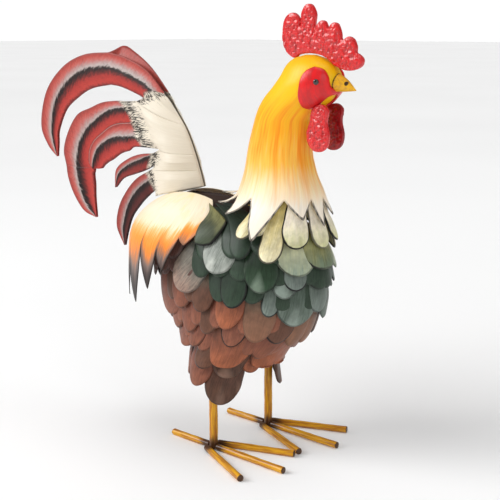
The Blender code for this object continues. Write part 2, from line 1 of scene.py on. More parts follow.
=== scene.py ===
"""Dresses the painted sheet steel rooster and sets it in a plain pale studio.

Sizes are millimetres in the sculpture's own lengthways place, where X = 0 lies just ahead of
the legs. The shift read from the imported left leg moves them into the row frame.
"""

import logging
import math
from collections.abc import Callable, Sequence
from dataclasses import dataclass, field
from enum import Enum

import bmesh
import bpy
import numpy as np
from mathutils import Matrix, Vector, noise


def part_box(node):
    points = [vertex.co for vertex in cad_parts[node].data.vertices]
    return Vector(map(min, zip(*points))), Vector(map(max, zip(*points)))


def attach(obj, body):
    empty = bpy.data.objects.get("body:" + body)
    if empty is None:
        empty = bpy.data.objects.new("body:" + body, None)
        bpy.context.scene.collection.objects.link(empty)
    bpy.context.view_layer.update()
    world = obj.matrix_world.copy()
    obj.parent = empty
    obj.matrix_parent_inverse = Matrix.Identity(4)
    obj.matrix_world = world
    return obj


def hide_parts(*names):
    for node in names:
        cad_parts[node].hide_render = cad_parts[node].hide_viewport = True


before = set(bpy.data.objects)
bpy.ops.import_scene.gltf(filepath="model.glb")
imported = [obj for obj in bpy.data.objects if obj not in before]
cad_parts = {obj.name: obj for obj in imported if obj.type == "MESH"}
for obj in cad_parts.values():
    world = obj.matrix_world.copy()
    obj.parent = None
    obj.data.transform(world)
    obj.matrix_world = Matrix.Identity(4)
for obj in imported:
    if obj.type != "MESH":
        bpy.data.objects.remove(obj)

LOG = logging.getLogger("rooster")
MM = 0.001
FOOT_X = -13.0
SHIFT = (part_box("leg_left")[0].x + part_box("leg_left")[1].x) / 2 / MM - FOOT_X
SIDES = (("left", 1), ("right", -1))
Array = np.ndarray


# --- Curves and surfaces ---------------------------------------------------------------------


def smooth_curve(places: Sequence[float], values: Sequence[float], at: Array) -> Array:
    """Reads a curve through the values that never swings past its neighbours.

    Args:
        places: rising places at which the values are known.
        values: the value at each place.
        at: the places to read.

    Returns:
        The value of the curve at each place asked for.
    """
    x, y = np.asarray(places, float), np.asarray(values, float)
    at = np.clip(at, x[0], x[-1])
    steps = np.diff(x)
    slopes = np.diff(y) / steps
    before, after = slopes[:-1], slopes[1:]
    total = np.where(before + after == 0, 1, before + after)
    middle = np.where(before * after > 0, 2 * before * after / total, 0)
    tangents = np.concatenate((slopes[:1], middle, slopes[-1:]))
    i = np.clip(np.searchsorted(x, at, side="right") - 1, 0, len(steps) - 1)
    t = (at - x[i]) / steps[i]
    ends = y[i] * (1 + 2 * t) * (1 - t) ** 2 + y[i + 1] * t * t * (3 - 2 * t)
    return ends + steps[i] * (tangents[i] * t * (1 - t) ** 2 + tangents[i + 1] * t * t * (t - 1))


def through_points(points: Sequence[Sequence[float]], count: int) -> Array:
    """Lays evenly spaced points on the smooth curve through the given ones.

    Args:
        points: the points to pass through.
        count: how many points to lay.

    Returns:
        An array of count points.
    """
    known = np.asarray(points, float)
    steps = np.concatenate(([0], np.cumsum(np.linalg.norm(np.diff(known, axis=0), axis=1))))
    at = np.linspace(0, steps[-1], count)
    return np.stack([smooth_curve(steps, axis, at) for axis in known.T], axis=1)


def flowing(points: Array, count: int) -> Array:
    """Lays points on a rounded curve through the given ones, along their first axis.

    Args:
        points: known points, as (stations, ..., values).
        count: how many stations to read.

    Returns:
        The same array with count stations.
    """
    padded = np.concatenate((2 * points[:1] - points[1:2], points, 2 * points[-1:] - points[-2:-1]))
    at = np.linspace(0, len(points) - 1, count)
    i = np.clip(at.astype(int), 0, len(points) - 2)
    t = (at - i).reshape((-1,) + (1,) * (points.ndim - 1))
    a, b, c, d = (padded[i + k] for k in range(4))
    return 0.5 * (2 * b + (c - a) * t + (2 * a - 5 * b + 4 * c - d) * t**2 + (3 * b - a - 3 * c + d) * t**3)


@dataclass(frozen=True)
class Bed:
    """A surface of level ellipses: rows of height, back, front and half width."""

    rows: tuple[tuple[float, float, float, float], ...]

    def section(self, height: Array) -> tuple[Array, Array, Array]:
        """Reads the level ellipse at each height.

        Args:
            height: heights in millimetres.

        Returns:
            The centre's X, the half length and the half width.
        """
        heights, backs, fronts, widths = zip(*self.rows)
        back, front = smooth_curve(heights, backs, height), smooth_curve(heights, fronts, height)
        return (front + back) / 2, (front - back) / 2, smooth_curve(heights, widths, height)

    def bare(self, angle: Array, height: Array) -> Array:
        """Gives the surface points at angles from the front, in radians, and heights."""
        centre, length, width = self.section(height)
        return np.stack((centre + length * np.cos(angle), width * np.sin(angle), height + 0 * angle), axis=-1)

    def normal(self, angle: Array, height: Array) -> Array:
        """Gives the outward directions at angles and heights."""
        low, high = max(self.rows[0][0], -1e9), self.rows[-1][0]
        along = self.bare(angle + 0.01, height) - self.bare(angle - 0.01, height)
        up = self.bare(angle, np.minimum(height + 1, high)) - self.bare(angle, np.maximum(height - 1, low))
        out = np.cross(along, up)
        return out / np.maximum(np.linalg.norm(out, axis=-1, keepdims=True), 1e-9)

    def lifted(self, angle: Array, height: Array, lift: Array | float) -> Array:
        """Gives the points lifted off the surface along its outward directions."""
        return self.bare(angle, height) + np.asarray(lift)[..., None] * self.normal(angle, height)

    def reach(self, angle: float, height: float) -> float:
        """Gives the length of surface that one radian covers there."""
        _, length, width = self.section(np.array(height))
        return float(np.hypot(length * math.sin(angle), width * math.cos(angle)))

    def angle_at(self, x: Array, height: Array) -> Array:
        """Gives the angle at which the surface stands at X on its left side."""
        centre, length, _ = self.section(height)
        return np.arccos(np.clip((x - centre) / length, -1, 1))


PLUMAGE = Bed(
    (
        (40, -50, 16, 60), (75, -64, 19, 58), (105, -70, 24, 54), (120, -72, 36, 53),
        (135, -83, 54, 54), (150, -96, 70, 56), (170, -111, 84, 57), (195, -127, 95, 58),
        (222, -138, 98, 58), (248, -142, 94, 54), (268, -136, 66, 42), (281, -120, 12, 27),
        (288, -98, -30, 11),
    )
)
NECK = Bed(
    (
        (232, -30, 108, 70), (244, -28, 108.5, 68), (255, -25, 108, 65), (271, -18, 104.5, 60),
        (285, -9, 100.5, 52), (302, -4, 97, 43), (325, 2, 88, 34), (349, 6, 83, 30),
        (379, 15, 84, 28), (392, 20, 94, 27.5), (404, 28, 111, 27.5), (416, 40, 120.5, 27),
        (428, 50, 122.5, 24.5), (438, 56, 117, 20), (446, 66, 104, 12), (449.5, 79, 93, 3.5),
    )
)


def distance_to_line(points: Array, line: Array) -> Array:
    """Measures how far flat points lie from a broken line.

    Args:
        points: (n, 2) points.
        line: (m, 2) corners of the line.

    Returns:
        The n distances.
    """
    starts, spans = line[:-1], np.diff(line, axis=0)
    squares = np.maximum((spans**2).sum(1), 1e-12)
    nearest = np.full(len(points), 1e9)
    for start, span, square in zip(starts, spans, squares):
        t = np.clip(((points - start) @ span) / square, 0, 1)
        nearest = np.minimum(nearest, np.linalg.norm(points - start - t[:, None] * span, axis=1))
    return nearest


# --- Mesh pieces -----------------------------------------------------------------------------


def grid_faces(rows: int, columns: int, closed: bool = False, start: int = 0) -> list[tuple[int, ...]]:
    """Gives the four-sided faces of a grid.

    Args:
        rows: rows of points.
        columns: points in a row.
        closed: whether the last column meets the first.
        start: the first point's number.

    Returns:
        The faces as tuples of point numbers.
    """
    faces = []
    for r in range(rows - 1):
        low, high = start + r * columns, start + (r + 1) * columns
        for c in range(columns if closed else columns - 1):
            after = (c + 1) % columns
            faces.append((low + c, low + after, high + after, high + c))
    return faces


@dataclass
class Mould:
    """Points, faces and painting layers gathered for one mesh piece."""

    points: list[Array] = field(default_factory=list)
    faces: list[tuple[int, ...]] = field(default_factory=list)
    looks: list[int] = field(default_factory=list)
    layers: dict[str, list[Array]] = field(default_factory=dict)
    count: int = 0

    def add(self, points: Array, faces: list[tuple[int, ...]], look: int = 0, flip: bool = False, **layers: Array) -> None:
        """Adds one patch.

        Args:
            points: (n, 3) points in millimetres.
            faces: faces numbered from the patch's first point.
            look: which material of the piece the patch takes.
            flip: whether to turn the faces over.
            layers: a painting layer's values for each point.
        """
        flat = points.reshape(-1, 3)
        for face in faces:
            moved = tuple(i + self.count for i in face)
            self.faces.append(moved[::-1] if flip else moved)
        self.looks.extend([look] * len(faces))
        self.points.append(flat)
        for name, values in layers.items():
            shape = (len(flat), 3) if name == "lay" else (len(flat),)
            self.layers.setdefault(name, []).append(np.asarray(values, float).reshape(shape))
        self.count += len(flat)

    def piece(self, name: str, looks: Sequence[bpy.types.Material], sharp: float = 50) -> bpy.types.Object:
        """Makes the mesh piece in the row frame.

        Args:
            name: the piece's name.
            looks: its materials.
            sharp: the angle in degrees over which an edge shows as sharp.

        Returns:
            The new object.
        """
        mesh = bpy.data.meshes.new(name)
        places = (np.concatenate(self.points) + (SHIFT, 0, 0)) * MM
        mesh.from_pydata(places.tolist(), [], self.faces)
        for layer, parts in self.layers.items():
            values = np.concatenate(parts)
            kind = "FLOAT_VECTOR" if layer == "lay" else "FLOAT"
            store = mesh.attributes.new(layer, kind, "POINT")
            store.data.foreach_set("vector" if layer == "lay" else "value", values.ravel())
        for look in looks:
            mesh.materials.append(look)
        mesh.polygons.foreach_set("material_index", self.looks)
        mesh.shade_smooth()
        mesh.set_sharp_from_angle(angle=math.radians(sharp))
        thing = bpy.data.objects.new(name, mesh)
        bpy.context.scene.collection.objects.link(thing)
        return thing


def thicken(piece: bpy.types.Object, thickness: float, offset: float) -> None:
    """Gives a sheet its thickness in millimetres, inward for -1 or outward for 1."""
    shell = piece.modifiers.new("Sheet", "SOLIDIFY")
    shell.thickness = thickness * MM
    shell.offset = offset
    shell.use_even_offset = False


def settle(piece: bpy.types.Object, paint: str, *nodes: str) -> None:
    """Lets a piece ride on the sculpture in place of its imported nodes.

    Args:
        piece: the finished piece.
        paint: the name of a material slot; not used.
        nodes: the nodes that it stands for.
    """
    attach(piece, "root")
    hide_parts(*nodes)
    LOG.info("%s: %d points for %s", piece.name, len(piece.data.vertices), ", ".join(nodes))


# --- Finishes --------------------------------------------------------------------------------


def linear(colour: str) -> tuple[float, float, float, float]:
    """Turns an sRGB hex value into linear red, green, blue and alpha."""
    parts = [int(colour[i : i + 2], 16) / 255 for i in (1, 3, 5)]
    return (*(p / 12.92 if p <= 0.04045 else ((p + 0.055) / 1.055) ** 2.4 for p in parts), 1.0)


def add_node(
    tree: bpy.types.NodeTree, kind: str, settings: dict | None = None, inputs: dict | None = None
) -> bpy.types.Node:
    """Adds one shader node.

    Args:
        tree: the material's node tree.
        kind: the node's type.
        settings: its properties; "stops" fills a colour ramp with places and hex colours.
        inputs: for each input, by name or number, a value or the socket that feeds it.

    Returns:
        The new node.
    """
    node = tree.nodes.new(kind)
    for name, value in (settings or {}).items():
        if name == "stops":
            ramp = node.color_ramp
            while len(ramp.elements) < len(value):
                ramp.elements.new(0.5)
            for element, (place, colour) in zip(ramp.elements, value):
                element.position = place
                element.color = linear(colour)
        else:
            setattr(node, name, value)
    for name, value in (inputs or {}).items():
        if isinstance(value, bpy.types.NodeSocket):
            tree.links.new(value, node.inputs[name])
        else:
            node.inputs[name].default_value = value
    return node


@dataclass(frozen=True)
class Enamel:
    """Air-drying enamel brushed on sheet steel: a hard coat with a soft shine and brush marks."""

    name: str
    roughness: float = 0.42
    coat: float = 0.0
    brush: float = 0.25
    gloss: float = 0.3

    def build(self) -> bpy.types.Material:
        """Makes the material once and hands out the same one after that."""
        made = bpy.data.materials.get(self.name)
        if made is None:
            made = bpy.data.materials.new(self.name)
            made.use_nodes = True
            self.paint(made.node_tree, made.node_tree.nodes["Principled BSDF"])
        return made

    def strokes(self, tree: bpy.types.NodeTree, width: float, length: float, turn: float = 0.0) -> bpy.types.NodeSocket:
        """Adds brush strokes that run along the piece.

        Args:
            tree: the material's node tree.
            width: the width of a stroke in millimetres.
            length: the length of a stroke in millimetres.
            turn: how far the strokes lean, in degrees.

        Returns:
            The socket with the strokes' strength from 0 to 1.
        """
        lay = add_node(tree, "ShaderNodeAttribute", {"attribute_name": "lay"})
        turned = add_node(
            tree, "ShaderNodeVectorRotate", {"rotation_type": "Z_AXIS"},
            {"Vector": lay.outputs["Vector"], "Angle": math.radians(turn)},
        )
        scaled = add_node(
            tree, "ShaderNodeMapping", None,
            {"Vector": turned.outputs["Vector"], "Scale": (1 / width, 1 / length, 1)},
        )
        streaks = add_node(
            tree, "ShaderNodeTexNoise", None,
            {"Vector": scaled.outputs["Vector"], "Scale": 1.0, "Detail": 3.0, "Roughness": 0.6},
        )
        return streaks.outputs["Fac"]

    def finish(self, tree: bpy.types.NodeTree, shader: bpy.types.Node, colour: bpy.types.NodeSocket) -> None:
        """Links the colour and lays brush marks in the coat.

        Args:
            tree: the material's node tree.
            shader: its principled shader.
            colour: the socket with the painted colour.
        """
        tree.links.new(colour, shader.inputs["Base Color"])
        # Bristle marks are about 0.4 mm apart; drawn at 1.2 mm so that they show in the render
        marks = self.strokes(tree, 1.2, 22.0)
        bump = add_node(
            tree, "ShaderNodeBump", None,
            {"Height": marks, "Strength": self.brush, "Distance": 0.4 * MM},
        )
        rough = add_node(
            tree, "ShaderNodeMapRange", None,
            {"Value": marks, "To Min": self.roughness - 0.08, "To Max": self.roughness + 0.1},
        )
        tree.links.new(rough.outputs["Result"], shader.inputs["Roughness"])
        tree.links.new(bump.outputs["Normal"], shader.inputs["Normal"])
        shader.inputs["IOR"].default_value = 1.5
        shader.inputs["Specular IOR Level"].default_value = self.gloss
        shader.inputs["Coat Weight"].default_value = self.coat
        shader.inputs["Coat Roughness"].default_value = 0.2

    def paint(self, tree: bpy.types.NodeTree, shader: bpy.types.Node) -> None:
        """Mixes the colours; each finish has its own way."""
        raise NotImplementedError


@dataclass(frozen=True)
class FeatherEnamel(Enamel):
    """Feather paint graded wet in wet from root to tip, with streaks, light flute ridges and a black-painted rim; a
    darker root is partly painted shade under the feather above, the light ridges are partly painted highlight, and the
    black rim is partly painted shadow below the edge.
    """

    root: str = "#553A2C"
    middle: str = "#6E4532"
    tip: str = "#8A5540"
    streak: str = "#3A241B"
    streaks: float = 0.5
    flute: str = "#C9CCC2"
    flutes: float = 0.0
    ink: str = "#0D0B0A"

    def paint(self, tree: bpy.types.NodeTree, shader: bpy.types.Node) -> None:
        """Grades the feather, its darker root partly painted shade, streaks it, lightens its flute ridges, partly as
        painted highlight, and blackens its rim, partly as painted shadow.
        """
        tone = add_node(tree, "ShaderNodeAttribute", {"attribute_name": "tone"})
        rim = add_node(tree, "ShaderNodeAttribute", {"attribute_name": "rim"})
        ink = add_node(tree, "ShaderNodeAttribute", {"attribute_name": "ink"})
        ridge = add_node(tree, "ShaderNodeAttribute", {"attribute_name": "ridge"})
        soft = self.strokes(tree, 3.5, 18.0)
        fine = self.strokes(tree, 0.9, 14.0, 4)
        blotch = self.strokes(tree, 9.0, 11.0, 20)
        uneven = add_node(tree, "ShaderNodeMath", {"operation": "MULTIPLY_ADD"}, {0: soft, 1: 0.5, 2: -0.25})
        place = add_node(
            tree, "ShaderNodeMath", {"operation": "ADD"}, {0: tone.outputs["Fac"], 1: uneven.outputs["Value"]}
        )
        # Root to tip colours: where the root is darker, that is partly painted shade where the feather slips under the
        # one above
        base = add_node(
            tree, "ShaderNodeValToRGB",
            {"stops": ((0.05, self.root), (0.5, self.middle), (0.95, self.tip))},
            {"Fac": place.outputs["Value"]},
        )
        streaky = add_node(
            tree, "ShaderNodeMapRange", None,
            {"Value": fine, "From Min": 0.46, "From Max": 0.7, "To Max": self.streaks},
        )
        streaked = add_node(
            tree, "ShaderNodeMix", {"data_type": "RGBA"},
            {0: streaky.outputs["Result"], 6: base.outputs["Color"], 7: linear(self.streak)},
        )
        # Light paint on the flute ridges: partly dry-brushed paint, partly a painted highlight on the ridges
        lit = add_node(
            tree, "ShaderNodeMapRange", None,
            {"Value": ridge.outputs["Fac"], "From Min": 0.3, "From Max": 0.75, "To Max": self.flutes},
        )
        fluted = add_node(
            tree, "ShaderNodeMix", {"data_type": "RGBA"},
            {0: lit.outputs["Result"], 6: streaked.outputs[2], 7: linear(self.flute)},
        )
        clouded = add_node(
            tree, "ShaderNodeMapRange", None,
            {"Value": blotch, "From Min": 0.35, "From Max": 0.7, "To Min": 0.82, "To Max": 1.18},
        )
        cloudy = add_node(
            tree, "ShaderNodeMix", {"data_type": "RGBA", "blend_type": "MULTIPLY"},
            {0: 1.0, 6: fluted.outputs[2], 7: clouded.outputs["Result"]},
        )
        # Black rim: partly the black-painted sheet edge, partly painted shadow in the gap under the edge
        wander = add_node(tree, "ShaderNodeMath", {"operation": "MULTIPLY_ADD"}, {0: soft, 1: -1.6, 2: 0.8})
        edge = add_node(
            tree, "ShaderNodeMath", {"operation": "ADD"}, {0: rim.outputs["Fac"], 1: wander.outputs["Value"]}
        )
        line = add_node(
            tree, "ShaderNodeMapRange", {"interpolation_type": "SMOOTHSTEP"},
            {"Value": edge.outputs["Value"], "From Min": 2.3, "From Max": 1.3, "To Max": 1.0},
        )
        inked_and_shadowed = add_node(
            tree, "ShaderNodeMath", {"operation": "MULTIPLY"},
            {0: line.outputs["Result"], 1: ink.outputs["Fac"]},
        )
        final = add_node(
            tree, "ShaderNodeMix", {"data_type": "RGBA"},
            {0: inked_and_shadowed.outputs["Value"], 6: cloudy.outputs[2], 7: linear(self.ink)},
        )
        self.finish(tree, shader, final.outputs[2])


class Plume(Enum):
    """The feather paints, each named for its colours."""

    # Darker root colours below are partly painted shade under the overlapping feather
    GREEN_LEAF = FeatherEnamel("enamel_green_leaf", root="#8F8C5A", middle="#4E5441", tip="#46523F", streak="#20281C")
    YELLOW_CREAM = FeatherEnamel("enamel_yellow_cream", root="#C9AE4E", middle="#DCCC91", tip="#EFE6C2", streak="#A89544", streaks=0.45)
    PALE_CREAM = FeatherEnamel("enamel_pale_cream", root="#F4E4C6", middle="#FBF0DC", tip="#CFCF9C", streak="#E3CFA0", streaks=0.3)
    CREAM_TO_GREEN = FeatherEnamel("enamel_cream_to_green", root="#F2E8CF", middle="#D5D6B1", tip="#8C9A88", streak="#B9BE94", streaks=0.5)
    GOLD_TO_GREEN = FeatherEnamel("enamel_gold_to_green", root="#C9A73E", middle="#A0995D", tip="#6F7D66", streak="#59603F", streaks=0.6)
    PALE_FLUTED = FeatherEnamel("enamel_pale_fluted", root="#4A5448", middle="#8C928A", tip="#A4A9A1", streak="#39433A", streaks=0.65, flute="#C4C8BF", flutes=0.75)
    PINK_FLUTED = FeatherEnamel("enamel_pink_fluted", root="#5C6259", middle="#847B70", tip="#A98B7C", streak="#43382F", streaks=0.6, flute="#C8B5A6", flutes=0.75)
    DEEP_FLUTED = FeatherEnamel("enamel_deep_fluted", root="#1E2C20", middle="#233724", tip="#2F4631", streak="#141E15", streaks=0.6, flute="#8FA08E", flutes=0.5)
    GREY_GREEN = FeatherEnamel("enamel_grey_green", root="#4A564B", middle="#5D685F", tip="#76817A", streak="#39463A", streaks=0.5)
    GREY_FLUTED = FeatherEnamel("enamel_grey_fluted", root="#38473A", middle="#4F5D52", tip="#6A766C", streak="#2B382D", streaks=0.55, flute="#93A096", flutes=0.6)
    DARK_GREEN = FeatherEnamel("enamel_dark_green", root="#243126", middle="#29382B", tip="#324434", streak="#1A241B", streaks=0.5)
    SMOKY_BROWN = FeatherEnamel("enamel_smoky_brown", root="#4B4A3B", middle="#5D3D2E", tip="#6B4533", streak="#3B2A20", streaks=0.5)
    RED_BROWN = FeatherEnamel("enamel_red_brown", root="#58362E", middle="#7A4636", tip="#8C553F", streak="#4A2D22", streaks=0.5)
    ORANGE_BROWN = FeatherEnamel("enamel_orange_brown", root="#6A4333", middle="#8A4F38", tip="#A8603F", streak="#5C3A2C", streaks=0.5)
    TAN_BROWN = FeatherEnamel("enamel_tan_brown", root="#5A5244", middle="#7E5A46", tip="#8E6249", streak="#5A4436", streaks=0.4)
    BROWN_FLUTED = FeatherEnamel("enamel_brown_fluted", root="#4A3026", middle="#5F3E30", tip="#553A2C", streak="#33221A", streaks=0.6, flute="#9C7A68", flutes=0.5)
    PURPLE_BROWN = FeatherEnamel("enamel_purple_brown", root="#4B3A38", middle="#6B514B", tip="#5E4038", streak="#2E1F1C", streaks=0.8)


@dataclass(frozen=True)
class NeckEnamel(Enamel):
    """Yellow head paint brushed down into orange stripes that fade to cream on the lappets, with peach painted
    highlight between the stripes and a black hem line that is partly painted shadow.
    """

    stripe: str = "#F98E08"
    peach_highlight: str = "#FFC27A"
    ink: str = "#14100D"

    def paint(self, tree: bpy.types.NodeTree, shader: bpy.types.Node) -> None:
        """Grades the colour by height, lays soft stripes with peach painted highlight between them and blackens the
        hem, partly as painted shadow.
        """
        tone = add_node(tree, "ShaderNodeAttribute", {"attribute_name": "tone"})
        rim = add_node(tree, "ShaderNodeAttribute", {"attribute_name": "rim"})
        ink = add_node(tree, "ShaderNodeAttribute", {"attribute_name": "ink"})
        wide = self.strokes(tree, 9.0, 130.0)
        narrow = self.strokes(tree, 2.2, 60.0)
        fine = self.strokes(tree, 0.8, 30.0)
        uneven = add_node(tree, "ShaderNodeMath", {"operation": "MULTIPLY_ADD"}, {0: narrow, 1: 0.16, 2: -0.08})
        place = add_node(
            tree, "ShaderNodeMath", {"operation": "ADD"}, {0: tone.outputs["Fac"], 1: uneven.outputs["Value"]}
        )
        # Heights run from 250 mm at 0 to 450 mm at 1
        base = add_node(
            tree, "ShaderNodeValToRGB",
            {
                "stops": (
                    (0.0, "#F6E9D6"), (0.2, "#FBF0DE"), (0.3, "#FCE0AE"), (0.42, "#FDC44E"),
                    (0.6, "#FFB41A"), (0.74, "#FBBE0A"), (0.86, "#F6C403"), (1.0, "#F3B902"),
                )
            },
            {"Fac": place.outputs["Value"]},
        )
        orange = add_node(
            tree, "ShaderNodeValToRGB",
            {"stops": ((0.2, "#000000"), (0.36, "#B0B0B0"), (0.5, "#FFFFFF"), (0.7, "#E0E0E0"), (0.8, "#000000"))},
            {"Fac": place.outputs["Value"]},
        )
        striped = add_node(
            tree, "ShaderNodeMapRange", {"interpolation_type": "SMOOTHSTEP"},
            {"Value": wide, "From Min": 0.42, "From Max": 0.6, "To Max": 1.0},
        )
        amount = add_node(
            tree, "ShaderNodeMath", {"operation": "MULTIPLY"},
            {0: striped.outputs["Result"], 1: orange.outputs["Color"]},
        )
        warmed = add_node(
            tree, "ShaderNodeMix", {"data_type": "RGBA"},
            {0: amount.outputs["Value"], 6: base.outputs["Color"], 7: linear(self.stripe)},
        )
        # Peach streaks where the orange stripes are absent: a painted highlight
        pale = add_node(
            tree, "ShaderNodeMapRange", {"interpolation_type": "SMOOTHSTEP"},
            {"Value": wide, "From Min": 0.44, "From Max": 0.3, "To Max": 0.75},
        )
        peach_highlight_amount = add_node(
            tree, "ShaderNodeMath", {"operation": "MULTIPLY"},
            {0: pale.outputs["Result"], 1: orange.outputs["Color"]},
        )
        peach_highlighted = add_node(
            tree, "ShaderNodeMix", {"data_type": "RGBA"},
            {0: peach_highlight_amount.outputs["Value"], 6: warmed.outputs[2], 7: linear(self.peach_highlight)},
        )
        combed = add_node(
            tree, "ShaderNodeMapRange", None,
            {"Value": fine, "From Min": 0.3, "From Max": 0.7, "To Min": 0.93, "To Max": 1.05},
        )
        brushed = add_node(
            tree, "ShaderNodeMix", {"data_type": "RGBA", "blend_type": "MULTIPLY"},
            {0: 1.0, 6: peach_highlighted.outputs[2], 7: combed.outputs["Result"]},
        )
        # Black hem line along the lappets: partly painted edge, partly painted shadow under the hem
        line = add_node(
            tree, "ShaderNodeMapRange", {"interpolation_type": "SMOOTHSTEP"},
            {"Value": rim.outputs["Fac"], "From Min": 2.0, "From Max": 1.2, "To Max": 1.0},
        )
        inked_and_shadowed = add_node(
            tree, "ShaderNodeMath", {"operation": "MULTIPLY"},
            {0: line.outputs["Result"], 1: ink.outputs["Fac"]},
        )
        final = add_node(
            tree, "ShaderNodeMix", {"data_type": "RGBA"},
            {0: inked_and_shadowed.outputs["Value"], 6: brushed.outputs[2], 7: linear(self.ink)},
        )
        self.finish(tree, shader, final.outputs[2])


@dataclass(frozen=True)
class TailEnamel(Enamel):
    """Cream pod paint hatched black towards the sickles, which are red with a grey upper web, a painted shade band just
    below each rib and painted shade on the lower sickles.
    """

    cream: str = "#ECE3D4"
    shade: str = "#D8CDB6"
    hatch: str = "#15110F"

    def paint(self, tree: bpy.types.NodeTree, shader: bpy.types.Node) -> None:
        """Paints the web across each sickle with painted shade below the rib and on the lower sickles, then the pod,
        then the hatching between them.
        """
        web = add_node(tree, "ShaderNodeAttribute", {"attribute_name": "web"})
        tone = add_node(tree, "ShaderNodeAttribute", {"attribute_name": "tone"})
        dusk = add_node(tree, "ShaderNodeAttribute", {"attribute_name": "dusk"})
        lean = self.strokes(tree, 1.6, 9.0, 38)
        lean2 = self.strokes(tree, 1.1, 10.0, -30)
        along = self.strokes(tree, 1.3, 24.0)
        crossed = self.strokes(tree, 1.0, 12.0, 18)
        uneven = add_node(tree, "ShaderNodeMath", {"operation": "MULTIPLY_ADD"}, {0: lean, 1: 0.34, 2: -0.17})
        across = add_node(
            tree, "ShaderNodeMath", {"operation": "ADD"}, {0: web.outputs["Fac"], 1: uneven.outputs["Value"]}
        )
        # Across the web: 0 is the upper edge, 0.5 the rib and 1 the lower edge; the near-black at and just below the
        # rib is painted shade under the crease
        red = add_node(
            tree, "ShaderNodeValToRGB",
            {
                "stops": (
                    (0.0, "#8F3A34"), (0.12, "#B4483F"), (0.24, "#B9625A"), (0.36, "#A98A86"), (0.45, "#B3A5A0"),
                    (0.5, "#2A1C1C"), (0.56, "#140D0D"), (0.64, "#5E1F1C"), (0.74, "#A82F29"), (0.9, "#B93A30"),
                    (1.0, "#7A2622"),
                )
            },
            {"Fac": across.outputs["Value"]},
        )
        streaky = add_node(
            tree, "ShaderNodeMapRange", None, {"Value": lean2, "From Min": 0.5, "From Max": 0.72, "To Max": 0.35}
        )
        streaked = add_node(
            tree, "ShaderNodeMix", {"data_type": "RGBA"},
            {0: streaky.outputs["Result"], 6: red.outputs["Color"], 7: linear("#4A1512")},
        )
        # Painted shade: the lower sickles and the lower half of each web darken away from the root
        sickle_shaded = add_node(
            tree, "ShaderNodeMix", {"data_type": "RGBA"},
            {0: dusk.outputs["Fac"], 6: streaked.outputs[2], 7: linear("#1D1413")},
        )
        creamy = add_node(
            tree, "ShaderNodeMix", {"data_type": "RGBA"},
            {0: along, 6: linear(self.cream), 7: linear(self.shade)},
        )
        # Tone runs from 0 on the ridge to 1 where the hatching ends
        pod = add_node(
            tree, "ShaderNodeMapRange", {"interpolation_type": "SMOOTHSTEP"},
            {"Value": tone.outputs["Fac"], "From Min": 0.98, "From Max": 0.9, "To Max": 1.0},
        )
        ground = add_node(
            tree, "ShaderNodeMix", {"data_type": "RGBA"},
            {0: pod.outputs["Result"], 6: sickle_shaded.outputs[2], 7: creamy.outputs[2]},
        )
        density = add_node(
            tree, "ShaderNodeValToRGB",
            {"stops": ((0.25, "#000000"), (0.42, "#5A5A5A"), (0.62, "#A8A8A8"), (0.85, "#E4E4E4"), (0.96, "#D0D0D0"), (1.0, "#000000"))},
            {"Fac": tone.outputs["Fac"]},
        )
        both = add_node(tree, "ShaderNodeMath", {"operation": "MAXIMUM"}, {0: along, 1: crossed})
        need = add_node(
            tree, "ShaderNodeMath", {"operation": "MULTIPLY_ADD"}, {0: density.outputs["Color"], 1: -0.42, 2: 0.8}
        )
        over = add_node(
            tree, "ShaderNodeMath", {"operation": "SUBTRACT"}, {0: both.outputs["Value"], 1: need.outputs["Value"]}
        )
        stroke = add_node(
            tree, "ShaderNodeMapRange", {"interpolation_type": "SMOOTHSTEP"},
            {"Value": over.outputs["Value"], "From Min": 0.0, "From Max": 0.05, "To Max": 0.95},
        )
        final = add_node(
            tree, "ShaderNodeMix", {"data_type": "RGBA"},
            {0: stroke.outputs["Result"], 6: ground.outputs[2], 7: linear(self.hatch)},
        )
        self.finish(tree, shader, final.outputs[2])


